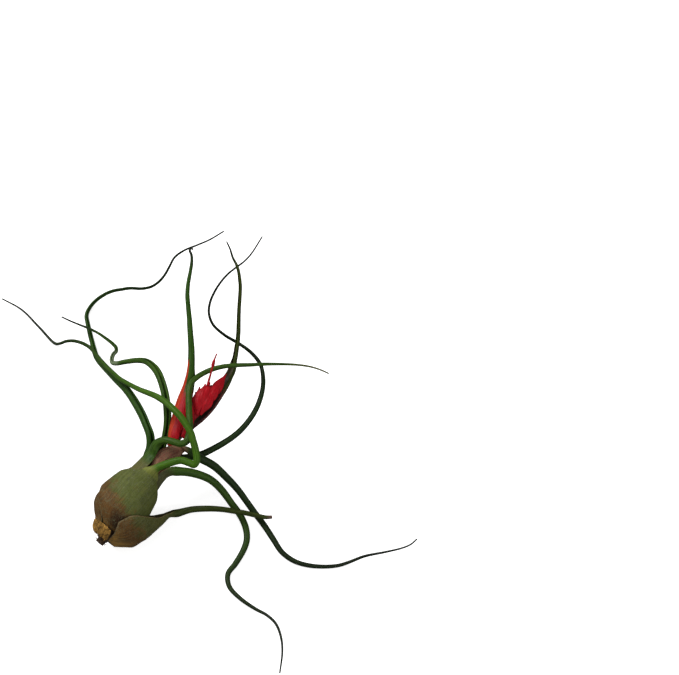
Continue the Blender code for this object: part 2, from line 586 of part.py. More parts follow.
def make_flower_spike():
    """The flattened spike: pointed bracts in overlapping rows on a short core, joined into one body."""
    core_route = (
        (193.6, 419.6, 31.6), (198.6, 412.0, 32.2), (203.0, 405.0, 32.4), (208.0, 397.0, 32.6),
        (214.0, 389.0, 32.6),
    )
    core_shape = ((0.0, 1.5, 3.9, 1.2, 1.0, 0.0), (0.3, 1.8, 4.7, 1.5, 1.0), (1.0, 0.8, 2.1, 0.6, 1.0))
    core = bract("flower_spike", core_route, core_shape, TO_VIEWER, RED, 0.45, 14, 10)
    scales = bpy.data.collections.new("spike_scales")
    bpy.context.scene.collection.children.link(scales)
    for number, (foot, tip, half_width, faces_viewer) in enumerate(SPIKE_BRACTS):
        middle = tuple(mix(f, t, 0.5) for f, t in zip(foot, tip))
        middle = (middle[0], middle[1], middle[2] + 0.5 * faces_viewer)
        shape = (
            (0.0, 1.6, 1.2, 0.8, 0.0, 2.0), (0.2, 2.3, half_width * 0.9, 0.8, 0.0),
            (0.5, 2.8, half_width, 0.8, 0.0), (0.8, 2.4, half_width * 0.55, 0.75, 0.0),
            (1.0, 1.2, 0.36, 0.7, 0.0),
        )
        back = TO_VIEWER * faces_viewer
        scale = bract("scale_%d" % number, (foot, middle, tip), shape, back, RED, 0.45, 8, 6)
        plant_collection().objects.unlink(scale)
        scales.objects.link(scale)
    union = core.modifiers.new("join_scales", "BOOLEAN")
    union.operation = "UNION"
    union.operand_type = "COLLECTION"
    union.collection = scales
    union.solver = "EXACT"
    apply_modifiers(core)
    for scale in list(scales.objects):
        bpy.data.objects.remove(scale)
    bpy.data.collections.remove(scales)
    return core


def apply_modifiers(obj):
    bpy.context.view_layer.update()
    graph = bpy.context.evaluated_depsgraph_get()
    mesh = bpy.data.meshes.new_from_object(obj.evaluated_get(graph))
    obj.modifiers.clear()
    obj.data = mesh


def make_flower():
    """The slender style of the open flower, with its swollen stigma."""
    route = (
        (207.8, 385.4, 37.0), (208.8, 380.6, 37.7), (210.4, 375.0, 39.2), (211.6, 370.4, 40.6), (213.2, 364.0, 42.0),
        (214.6, 359.0, 43.0), (216.8, 353.6, 44.0),
    )
    way = spline([from_drawing(*p) for p in route])
    radii = ((0.0, 0.7), (0.3, 0.5), (0.55, 0.45), (0.64, 0.85), (0.74, 0.75), (0.82, 0.4), (1.0, 0.34))
    rings = []
    legs = np.concatenate([[0.0], np.cumsum(np.linalg.norm(np.diff(way, axis=0), axis=1))])
    length = legs[-1]
    shares = np.linspace(0.0, 1.0, 15)
    before = None
    normal = unit(TO_VIEWER)
    for share in shares:
        point = np.array([np.interp(share * length, legs, way[:, k]) for k in range(3)])
        ahead = np.array([np.interp(min(length, share * length + 0.5), legs, way[:, k]) for k in range(3)])
        behind = np.array([np.interp(max(0.0, share * length - 0.5), legs, way[:, k]) for k in range(3)])
        along = unit(ahead - behind)
        if before is None:
            normal = unit(normal - along * np.dot(normal, along))
        else:
            normal = turned_along(normal, before, along)
        before = along
        across = np.cross(along, normal)
        radius = table(radii, share)
        ring = []
        for i in range(8):
            angle = math.radians(i * 45)
            ring.append(point + (normal * math.cos(angle) + across * math.sin(angle)) * radius)
        rings.append(ring)
    return solid("flower", *skin(rings), RED, 0.45)


def make_dry_scale():
    """Ragged, papery rest of an old sheath round the bulb's foot."""
    rows = (
        (0.3, -22, 38, 6.6, 6.6), (1.2, -24, 42, 7.7, 7.7), (2.4, -25, 37, 9.0, 9.0),
        (4.0, -26, 33, 10.5, 10.5), (5.4, -24, 26, 11.6, 11.6),
    )
    rings = sheath_rings(finer_rows(rows, 1.4))
    ragged = []
    for number, ring in enumerate(rings):
        share = number / (len(rings) - 1)
        moved = []
        for i, point in enumerate(ring):
            place = i
            if i >= OUTER_POINTS:
                place = (OUTER_POINTS + INNER_POINTS - 1 - i) * (OUTER_POINTS - 1) / (INNER_POINTS - 1)
            moved.append(point + AXIS * 0.9 * share * share * math.sin(place * 1.7))
        ragged.append(moved)
    return solid("dry_scale", *skin(ragged), STRAW, 0.8)


def clear_scene():
    for obj in list(bpy.data.objects):
        bpy.data.objects.remove(obj)


def main():
    clear_scene()
    make_leaf_1()
    make_leaf_2()
    make_leaf_3()
    make_leaf_4()
    make_leaf_5()
    make_leaf_6()
    make_leaf_7()
    make_leaf_8()
    make_stem()
    make_scape_leaf_left()
    make_scape_leaf_right()
    make_stalk_bract()
    make_flower_spike()
    make_flower()
    make_dry_scale()


main()
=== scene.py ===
"""Dresses the frame of a bulbous air plant: leaves with spoon-like sheaths and long rolled blades, leafy
bracts, a red flower spike, a papery foot and silvery scurf, on a pale table under soft light."""

import json
import math

import bmesh
import bpy
import numpy as np
from bpy.props import FloatProperty, FloatVectorProperty, IntProperty, PointerProperty
from mathutils import Matrix, Vector, noise


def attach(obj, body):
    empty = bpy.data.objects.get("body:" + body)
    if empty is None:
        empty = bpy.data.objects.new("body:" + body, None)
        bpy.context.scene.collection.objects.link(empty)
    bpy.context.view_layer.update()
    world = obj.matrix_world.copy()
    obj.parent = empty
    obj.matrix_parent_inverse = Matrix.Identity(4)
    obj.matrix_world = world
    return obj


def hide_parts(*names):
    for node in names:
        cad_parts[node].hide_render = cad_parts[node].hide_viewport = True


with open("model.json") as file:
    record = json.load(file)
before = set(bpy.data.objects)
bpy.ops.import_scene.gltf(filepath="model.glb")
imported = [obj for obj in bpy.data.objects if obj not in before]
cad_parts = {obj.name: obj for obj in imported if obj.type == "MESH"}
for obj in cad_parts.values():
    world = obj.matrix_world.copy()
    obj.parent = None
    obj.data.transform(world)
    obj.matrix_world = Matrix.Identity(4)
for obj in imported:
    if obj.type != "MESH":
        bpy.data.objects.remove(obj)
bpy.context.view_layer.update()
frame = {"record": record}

bl_info = {
    "name": "Bulbous Air Plant",
    "version": (1, 0, 0),
    "blender": (4, 5, 0),
    "location": "View3D > Sidebar > Air Plant",
    "description": "Dresses the frame of a bulbous air plant with leaves, bracts, flower spike and scurf",
    "category": "Object",
}

MM = 0.001
BODY = "root"

# The routes are drawn as the plant is seen from the front and above, in steps of half a millimetre
# to the right and down, with the height over the table in millimetres.
STEP = 0.5 * MM
VIEW_RISE = math.radians(60)
VIEW_DISTANCE = 1.3
DRAWING_CENTRE = (339.5, 337.5)
# Plan position of the flat spot under the bulb, measured from the point of the table in mid drawing.
SPOT = (-101.4 * MM, -104.9 * MM)

# The bulb's axis, and the sideways bend of its foot.
BULB_FOOT = (97.0, 535.0, 12.0)
BULB_LEAN = 0.16
BULB_HEADING = (0.643, 0.765)
FOOT_BEND = (
    (-3.0, 2.5), (0.0, 2.7), (3.2, 3.2), (6.2, 3.4), (8.5, 2.2), (11.0, 0.8), (14.0, 0.0), (60.0, 0.0),
)

# Sections: the usual wall in mm, the share of a wall that is left at its margins, and the power of the place
# across by which it thins towards them.
SHEATH_WALL = 1.1
SHEATH_MARGIN, BLADE_MARGIN, BRACT_MARGIN, PAPER_MARGIN = 0.28, 0.6, 0.35, 0.3
SHEATH_POWER, BLADE_POWER, BRACT_POWER = 6, 2, 4
# Points on the outside and the inside of a section and on each rounded margin. A blade has half as many once
# it is rolled up, and half of those again where its radius in mm is below THIN_BLADE.
OUTER_POINTS = 62
INNER_POINTS = 34
CAP_POINTS = 2
THIN_BLADE = 1.15
# The roll of the blades: the usual length in mm over which they roll up, the half angle of the roll, and its
# wall as a share of the radius. Over AXIS_BLEND a blade turns from the bulb's axis into its own route.
ROLL_LENGTH = 9.0
ROLL_HALF = math.radians(150)
ROLL_WALL_SHARE = 0.72
AXIS_BLEND = 6.0

# Relief, in mm: the size of the soft lumps, their height on blades (a share of the radius) and on bracts, the
# gap between two ribs, the number of foot folds in a full turn, and the depth of the furrows in the bark.
SHEATH_LUMP, BLADE_LUMP, BRACT_LUMP = 5.0, 6.0, 3.0
BLADE_SWELL, BRACT_SWELL = 0.05, 0.06
RIB_GAP = 1.5
FOLDS = 11
FURROW_DEPTH = 0.10

# Where the bulb turns from rusty brown (lower left) to green, as a place and a direction in the drawing.
GREEN_EDGE = (112.0, 482.0, 25.0)
GREEN_WAY = (0.857, 0.514)
RUST_FADE = 6.5
# Where the marks of a sheath start and where they are full, along the bulb's axis in mm. The third of these
# and the one after it, which goes across the sheath, place painted shade: a deep brown laid low on the lower
# right of the front sheath. GREEN_FADE is the length over which a sheath turns green.
FOOT_RISE = (8.5, 2.0)
RUST_RISE = (11.0, 5.0)
PAINTED_SHADE_RISE = (18.0, 10.0)
PAINTED_SHADE_SIDE = (-5.0, 1.0)
FOLD_RISE = (9.0, 0.0)
GREEN_FADE = 5.0
# STUB_RISE and STUB_END say the same of the two ends of a blade's yellow stub, along the blade in mm, and
# BRACT_TIP of the tip of a bract, as shares of its length. Nothing reaches NEVER.
STUB_RISE, STUB_END = (0.0, 1.0), (6.5, 2.5)
BRACT_TIP = (0.82, 0.97)
NEVER = 99.0

# Looks: the colour that scurf gives to leaves and bracts, how many features a metre holds of its drifts and
# of ragged margins, and how high over the table the lowest scales lie.
LEAF_DUST = (0.20, 0.22, 0.11)
BRACT_DUST = (0.40, 0.16, 0.10)
DRIFT_SCALE = 420.0
RAGGED_SCALE = 900.0
SCURF_CLEARANCE = 0.4 * MM

# The stage: how far the table lies under the plant, the ways from the plant's middle to the lights and their
# sizes, the table's glow to the camera, and the share of its colour that lights the plant from below.
TABLE_DROP = 0.06 * MM
PLANT_MIDDLE = np.array([0.04, 0.04, 0.02])
KEY_PLACE, KEY_SIZE = np.array([-0.55, 0.42, 0.85]), 0.45
FILL_PLACE, FILL_SIZE = np.array([0.7, -0.6, 0.7]), 0.9
TABLE_GLOW = 0.72
TABLE_DIM = 0.25


def smooth(t):
    t = np.clip(t, 0.0, 1.0)
    return t * t * (3 - 2 * t)


def rise(value, start, end):
    """Smooth step from 0 at the start to 1 at the end, which may be the smaller of the two."""
    return smooth((value - start) / (end - start))


def mix(a, b, t):
    return a + (b - a) * t


def table(rows, x, column=1):
    """Straight-line reading of a column in rows that are sorted by their first value."""
    return float(np.interp(x, [row[0] for row in rows], [row[column] for row in rows]))


def unit(v):
    v = np.asarray(v, float)
    return v / np.linalg.norm(v)


def from_drawing(right, down, height):
    """World place, in mm, of a point that is drawn at (right, down) and stands this high over the table."""
    a = (right - DRAWING_CENTRE[0]) * STEP
    b = (DRAWING_CENTRE[1] - down) * STEP
    z = height * MM
    nearer = (z - b * math.cos(VIEW_RISE)) / (math.sin(VIEW_RISE) - b * math.cos(VIEW_RISE) / VIEW_DISTANCE)
    share = 1 - nearer / VIEW_DISTANCE
    y = b * share * math.sin(VIEW_RISE) - nearer * math.cos(VIEW_RISE)
    return np.array([(a * share - SPOT[0]) / MM, (y - SPOT[1]) / MM, height])


FOOT = from_drawing(*BULB_FOOT)
TO_VIEWER = np.array([0.0, -math.cos(VIEW_RISE), math.sin(VIEW_RISE)])
UPWARDS = np.array([0.0, math.sin(VIEW_RISE), math.cos(VIEW_RISE)])
RIGHTWARDS = np.array([1.0, 0.0, 0.0])
AXIS = unit(BULB_HEADING[0] * RIGHTWARDS + BULB_HEADING[1] * UPWARDS - BULB_LEAN * TO_VIEWER)
FACE = unit(TO_VIEWER - AXIS * np.dot(TO_VIEWER, AXIS))
SIDE = np.cross(AXIS, FACE)


def round_the_bulb(degrees):
    """Direction out of the bulb's axis: 0 faces the viewer, 90 is the lower right side."""
    angle = math.radians(degrees)
    return FACE * math.cos(angle) + SIDE * math.sin(angle)


def on_axis(along):
    return FOOT + AXIS * along + SIDE * table(FOOT_BEND, along)


def rough(points, size, seed=0.0):
    """Smooth noise from -1 to 1 at each point, with features of this size in mm."""
    shift = Vector((seed * 7.3, seed * 3.1, seed * 5.7))
    return np.array([noise.noise(Vector(p) / size + shift) for p in points])


# The leaves. sheath rows: along the axis, heading, half angle, outer radius, arc radius, and the wall where
# it isn't the usual one. route: right, down, height. radii: share of the blade, radius.
# colours: names of the sheath's, blade's and tip's, then the share of the blade where the tip's starts.
# roll: the length over which the blade rolls up, where it isn't the usual one. stub: 1 where the blade starts
# yellow. pale: the shares of the blade between which it is pale. green_from: the place along the axis where
# the sheath turns to the blade's green. The last key, 1 where it is given, lays painted shade on the sheath:
# a deep brown low down on its lower right.
LEAVES = {
    "leaf_1": {
        "sheath": (
            (1.0, 104, 76, 6.9, 6.9, 1.1), (4.0, 101, 87, 10.4, 10.2, 1.3), (8.0, 98, 93, 15.0, 13.4, 1.9),
            (13.0, 98, 94, 18.8, 14.9, 2.0), (18.0, 99, 87, 19.9, 14.4, 2.0),
            (22.0, 100, 73, 20.5, 11.6, 1.6), (25.5, 101, 60, 21.0, 8.4, 1.1),
            (28.5, 101, 64, 21.2, 4.6, 1.1),
        ),
        "route": (
            (172, 515.5, 9.2), (180, 512.5, 9.8), (191.5, 509.4, 10.4), (206.8, 508.5, 10.8),
            (222, 509.2, 10.6), (233.6, 511.0, 10.0), (245, 512.8, 9.2), (256.5, 515.5, 8.3),
            (265.7, 517.2, 7.4), (272, 517, 6.8),
        ),
        "radii": ((0.0, 2.1), (0.2, 1.65), (0.6, 1.35), (0.9, 1.15), (1.0, 0.85)),
        "roll": 7.0,
        "colours": ("olive", "dull_green", "brown_tip", 0.93),
    },
    "leaf_2": {
        "sheath": (
            (14.0, 75, 48, 11.2, 11.2), (20.0, 75, 55, 11.4, 11.4), (26.0, 75, 54, 10.2, 10.2),
            (32.5, 74, 50, 8.8, 8.8), (38.0, 70, 46, 8.1, 7.4), (42.0, 67, 46, 8.1, 5.8),
        ),
        "route": (
            (171.5, 472.8, 23.6), (182.0, 471.6, 23.4), (195.3, 473.7, 21.5), (210.6, 479.8, 17.5),
            (222.1, 490.5, 12.0), (232.0, 504.0, 7.0), (240.4, 515.5, 4.2), (245.8, 528.0, 2.4),
            (246.8, 539.5, 1.7), (243.5, 550.0, 1.55), (235.3, 563.9, 1.5), (228.0, 574.0, 1.5),
            (229.2, 586.3, 1.8), (240.0, 598.2, 2.6), (254.9, 608.6, 3.6), (267.5, 615.6, 4.6),
            (276.0, 624.0, 5.4), (281.2, 638.2, 6.2), (282.3, 652.2, 6.8), (279.8, 673.0, 7.6),
        ),
        "radii": (
            (0.0, 2.2), (0.12, 1.95), (0.3, 1.65), (0.5, 1.45), (0.62, 1.1), (0.76, 0.75), (0.86, 0.6),
            (1.0, 0.36),
        ),
        "colours": ("grey_olive", "green", "dark_tip", 0.0),
    },
    "leaf_3": {
        "sheath": (
            (22.0, 42, 34, 9.5, 9.5), (28.0, 40, 36, 8.3, 8.3), (34.0, 36, 38, 7.2, 7.2),
            (40.0, 28, 42, 6.3, 6.1), (46.0, 14, 50, 6.3, 5.6), (50.0, 20, 60, 6.6, 5.4),
            (54.0, 38, 60, 6.8, 5.0), (57.0, 56, 60, 6.7, 4.2),
        ),
        "route": (
            (188.5, 452.6, 27.6), (195.5, 456.4, 27.0), (203.0, 459.8, 25.5), (214.4, 466.2, 21.5),
            (225.9, 476.9, 16.5), (237.4, 489.2, 11.5), (247.3, 502.5, 7.2), (255.0, 513.2, 4.6),
            (264.4, 525.6, 3.0), (273.4, 539.5, 2.2), (281.8, 552.0, 1.7), (294.2, 561.0, 1.4),
            (308.2, 565.3, 1.25), (325.0, 566.6, 1.2), (339.1, 565.3, 1.3), (350.3, 561.7, 1.7),
            (364.3, 556.3, 2.6), (385.4, 552.0, 4.5), (402.2, 548.0, 6.3), (411.0, 544.2, 7.3),
            (417.0, 539.0, 8.2),
        ),
        "radii": (
            (0.0, 2.3), (0.1, 2.0), (0.25, 1.65), (0.45, 1.45), (0.62, 1.1), (0.78, 0.75), (0.9, 0.5),
            (1.0, 0.36),
        ),
        "roll": 6.0,
        "colours": ("pink", "deep_green", "dark_tip", 0.0),
    },
    "leaf_4": {
        "sheath": (
            (22.0, 136, 40, 9.5, 9.5), (28.0, 134, 42, 8.3, 8.3), (34.0, 132, 40, 7.2, 7.2),
            (40.0, 129, 36, 6.1, 5.9), (46.0, 124, 42, 5.8, 4.6), (50.0, 121, 50, 5.8, 3.8),
        ),
        "route": (
            (178.0, 458.8, 19.2), (188.0, 457.4, 18.2), (200.0, 454.8, 18.0), (212.9, 448.9, 18.5),
            (230.3, 438.6, 20.0), (240.4, 430.4, 21.5), (249.5, 419.7, 23.0), (256.1, 408.9, 24.0),
            (260.7, 397.2, 24.8), (262.9, 387.0, 25.0), (263.0, 376.0, 24.8), (260.2, 364.0, 24.5),
            (251.0, 352.5, 24.5), (239.0, 343.6, 25.0), (224.5, 335.0, 26.0), (213.0, 324.5, 27.5),
            (208.9, 313.0, 29.0), (210.2, 302.0, 30.5), (214.8, 291.4, 32.0), (220.7, 282.2, 33.0),
            (227.9, 274.0, 34.0), (235.8, 267.6, 35.0), (244.0, 261.6, 36.0), (251.4, 253.6, 37.0),
            (262.3, 236.5, 38.5),
        ),
        "radii": ((0.0, 1.9), (0.12, 1.6), (0.3, 1.35), (0.45, 1.0), (0.65, 0.7), (0.85, 0.5), (1.0, 0.34)),
        "roll": 7.0,
        "colours": ("grey_olive", "deep_green", "dark_tip", 0.0),
    },
    "leaf_5": {
        "sheath": (
            (1.5, -130, 70, 5.9, 5.7), (4.0, -130, 92, 8.0, 7.6), (8.0, -130, 96, 11.2, 10.1),
            (13.0, -130, 88, 12.8, 11.3), (20.0, -130, 78, 13.0, 11.5), (26.0, -137, 64, 11.9, 10.6),
            (30.0, -141, 48, 11.0, 9.8), (34.0, -142, 38, 9.9, 8.5), (38.0, -142, 35, 8.8, 7.0),
            (42.0, -137, 34, 8.1, 5.4),
        ),
        "route": (
            (150.2, 448.0, 24.0), (150.2, 436.0, 27.0), (146.2, 424.6, 27.8), (140.2, 411.0, 26.5),
            (131.5, 396.5, 23.5), (125.0, 387.9, 21.0), (117.4, 380.3, 17.5), (107.0, 369.5, 12.5),
            (99.5, 361.5, 8.5), (96.0, 355.8, 6.2), (92.9, 345.1, 3.6), (89.8, 332.8, 1.9),
            (87.9, 324.4, 1.35), (86.6, 315.2, 1.4), (89.8, 307.6, 1.7), (96.7, 299.9, 2.4),
            (105.9, 293.8, 3.4), (113.6, 290.8, 4.4), (121.0, 289.5, 5.5), (130.0, 288.2, 7.0),
            (142.0, 288.6, 9.0), (151.5, 286.6, 10.5), (159.0, 281.6, 12.0), (165.0, 274.5, 13.5),
            (169.5, 266.5, 15.0), (174.5, 257.5, 17.0), (184.0, 250.5, 19.0), (196.6, 245.3, 21.0),
            (210.0, 239.5, 22.5), (224.0, 231.1, 24.0),
        ),
        "radii": (
            (0.0, 2.1), (0.15, 2.05), (0.3, 1.8), (0.42, 1.35), (0.5, 1.2), (0.6, 0.95), (0.8, 0.65),
            (1.0, 0.36),
        ),
        "colours": ("olive", "mid_green", "dark_tip", 0.45),
    },
    "leaf_6": {
        "sheath": (
            (6.0, 2, 30, 10.2, 10.4), (9.0, 1, 35, 12.0, 12.4), (12.0, -3, 44, 13.0, 13.5),
            (16.0, 0, 62, 13.6, 14.2), (20.0, 0, 76, 13.3, 13.9), (24.0, 0, 84, 12.5, 13.0),
            (29.0, 0, 82, 11.4, 11.8), (32.0, 2, 68, 10.7, 11.0), (34.5, 4, 52, 10.0, 10.0),
            (36.8, 6, 40, 9.5, 7.4),
        ),
        "route": (
            (156.0, 468.6, 30.6), (168.3, 463.5, 33.0), (181.0, 460.4, 34.6), (189.6, 463.0, 35.0),
            (194.0, 464.6, 35.0), (196.6, 461.0, 36.2), (196.3, 454.0, 37.5), (195.2, 448.5, 38.8),
            (193.1, 440.6, 41.0), (190.9, 433.0, 42.8), (186.1, 424.6, 44.5), (179.7, 415.7, 45.5),
            (172.1, 408.0, 45.5), (165.7, 402.3, 44.5), (156.8, 396.6, 42.0), (147.9, 392.8, 38.5),
            (139.6, 389.6, 35.0), (128.9, 384.1, 30.0), (119.7, 378.7, 26.0), (109.7, 369.6, 20.5),
            (101.3, 361.1, 15.5), (95.2, 353.5, 12.0), (90.6, 348.1, 9.8), (83.0, 343.5, 7.0),
            (73.8, 340.9, 4.4), (66.1, 341.3, 2.8), (60.0, 343.5, 2.0), (55.5, 343.6, 1.5),
            (39.0, 327.0, 1.2), (21.6, 309.6, 1.6), (2.2, 298.8, 3.0),
        ),
        "radii": (
            (0.0, 1.9), (0.1, 1.75), (0.3, 1.6), (0.45, 1.15), (0.6, 1.05), (0.75, 0.85), (0.86, 0.6),
            (1.0, 0.36),
        ),
        "roll": 6.0,
        "colours": ("front_olive", "bright_green", "dark_tip", 0.32),
        "stub": 1.0,
        # Painted shade: a deep brown laid low on the lower right of this sheath.
        "painted_shade": 1.0,
    },
    "leaf_7": {
        "sheath": (
            (24.0, -148, 24, 9.4, 9.4), (30.0, -149, 26, 8.2, 8.2), (36.0, -156, 26, 6.8, 6.8),
            (42.0, -163, 28, 5.8, 5.2), (47.0, -168, 34, 5.6, 4.2),
        ),
        "route": (
            (161.0, 451.5, 20.5), (163.0, 444.5, 22.8), (165.5, 436.0, 25.5), (167.2, 424.6, 28.5),
            (167.4, 412.0, 31.5), (166.0, 399.0, 34.0), (162.7, 385.0, 34.5), (157.9, 372.8, 33.0),
            (151.8, 365.2, 30.5), (145.2, 361.2, 27.5), (136.5, 360.4, 24.0), (125.0, 361.8, 20.0),
            (116.5, 363.4, 17.2), (112.6, 362.6, 15.8), (111.8, 358.8, 15.0), (113.6, 354.0, 14.0),
            (116.2, 351.0, 13.2), (116.0, 347.6, 12.6), (112.5, 343.6, 12.0), (105.9, 338.4, 10.6),
            (98.3, 333.2, 9.2), (90.6, 329.2, 8.0), (79.1, 324.6, 7.0), (69.5, 320.6, 6.6),
            (61.5, 316.8, 6.6),
        ),
        "radii": (
            (0.0, 1.7), (0.1, 1.8), (0.25, 1.95), (0.38, 1.9), (0.5, 1.35), (0.65, 1.1), (0.8, 0.75),
            (0.92, 0.5), (1.0, 0.36),
        ),
        "roll": 7.0,
        "colours": ("olive", "green", "dark_tip", 0.72),
        "pale": (0.58, 0.71),
    },
    "leaf_8": {
        "sheath": (
            (22.0, -54, 40, 9.8, 9.8), (28.0, -54, 40, 9.0, 9.0), (33.0, -57, 40, 8.55, 8.55),
            (38.0, -56, 37, 8.1, 7.8), (42.0, -53, 40, 8.1, 6.6), (45.5, -53, 48, 7.9, 4.8),
        ),
        "route": (
            (152.4, 448.8, 30.6), (157.0, 443.2, 33.0), (164.4, 440.2, 35.5), (173.4, 441.8, 36.8),
            (181.0, 443.6, 37.0), (186.4, 441.4, 37.0), (188.9, 435.5, 37.0), (189.9, 427.0, 36.8),
            (189.3, 416.0, 37.2), (188.7, 404.0, 38.0), (188.9, 391.5, 38.6), (191.0, 383.4, 38.6),
            (197.0, 377.2, 38.0), (205.4, 372.2, 37.2), (213.8, 368.8, 36.8), (224.0, 366.4, 36.8),
            (238.0, 365.2, 35.8), (251.0, 364.8, 33.5), (262.5, 364.2, 30.8), (280.4, 364.1, 26.0),
            (298.2, 364.9, 20.5), (311.6, 367.0, 16.5), (322.4, 370.6, 13.0), (328.6, 373.5, 11.0),
        ),
        "radii": (
            (0.0, 2.1), (0.1, 1.7), (0.25, 1.6), (0.4, 1.45), (0.55, 1.15), (0.7, 0.85), (0.85, 0.55),
            (1.0, 0.36),
        ),
        "colours": ("yellow_olive", "green", "straw_tip", 0.74),
        "green_from": 38.5,
    },
}

# Colours by name, as pairs (darker, lighter) that a finish mixes over the surface.
TINTS = {
    "olive": ((0.048, 0.048, 0.010), (0.115, 0.122, 0.030)),
    "front_olive": ((0.055, 0.066, 0.012), (0.138, 0.160, 0.038)),
    "grey_olive": ((0.050, 0.052, 0.020), (0.110, 0.112, 0.044)),
    "yellow_olive": ((0.070, 0.072, 0.018), (0.150, 0.145, 0.042)),
    "pink": ((0.150, 0.030, 0.024), (0.430, 0.240, 0.140)),
    "rust": ((0.045, 0.015, 0.003), (0.175, 0.088, 0.022)),
    # Painted shade: the deep brown that darkens the front sheath low down on its lower right.
    "painted_shade": ((0.010, 0.003, 0.001), (0.055, 0.022, 0.005)),
    "foot": ((0.060, 0.030, 0.006), (0.560, 0.300, 0.066)),
    "green": ((0.016, 0.048, 0.004), (0.058, 0.126, 0.012)),
    "mid_green": ((0.011, 0.040, 0.003), (0.036, 0.098, 0.008)),
    "bright_green": ((0.030, 0.085, 0.003), (0.070, 0.170, 0.010)),
    "deep_green": ((0.005, 0.017, 0.002), (0.018, 0.044, 0.006)),
    "dull_green": ((0.014, 0.023, 0.002), (0.045, 0.064, 0.008)),
    "dark_tip": ((0.003, 0.006, 0.003), (0.012, 0.018, 0.008)),
    "brown_tip": ((0.060, 0.030, 0.024), (0.160, 0.090, 0.075)),
    "straw_tip": ((0.070, 0.070, 0.018), (0.150, 0.150, 0.045)),
    "stub": ((0.120, 0.140, 0.022), (0.240, 0.260, 0.060)),
    "pale": ((0.130, 0.180, 0.090), (0.230, 0.290, 0.170)),
    "margin": ((0.080, 0.050, 0.018), (0.200, 0.145, 0.070)),
    "crimson": ((0.200, 0.001, 0.003), (0.540, 0.010, 0.020)),
    "orange_red": ((0.340, 0.014, 0.006), (0.600, 0.070, 0.028)),
    "maroon": ((0.040, 0.008, 0.008), (0.130, 0.034, 0.026)),
    "bronze": ((0.014, 0.014, 0.005), (0.058, 0.044, 0.016)),
    "bark": ((0.020, 0.010, 0.006), (0.130, 0.080, 0.048)),
}

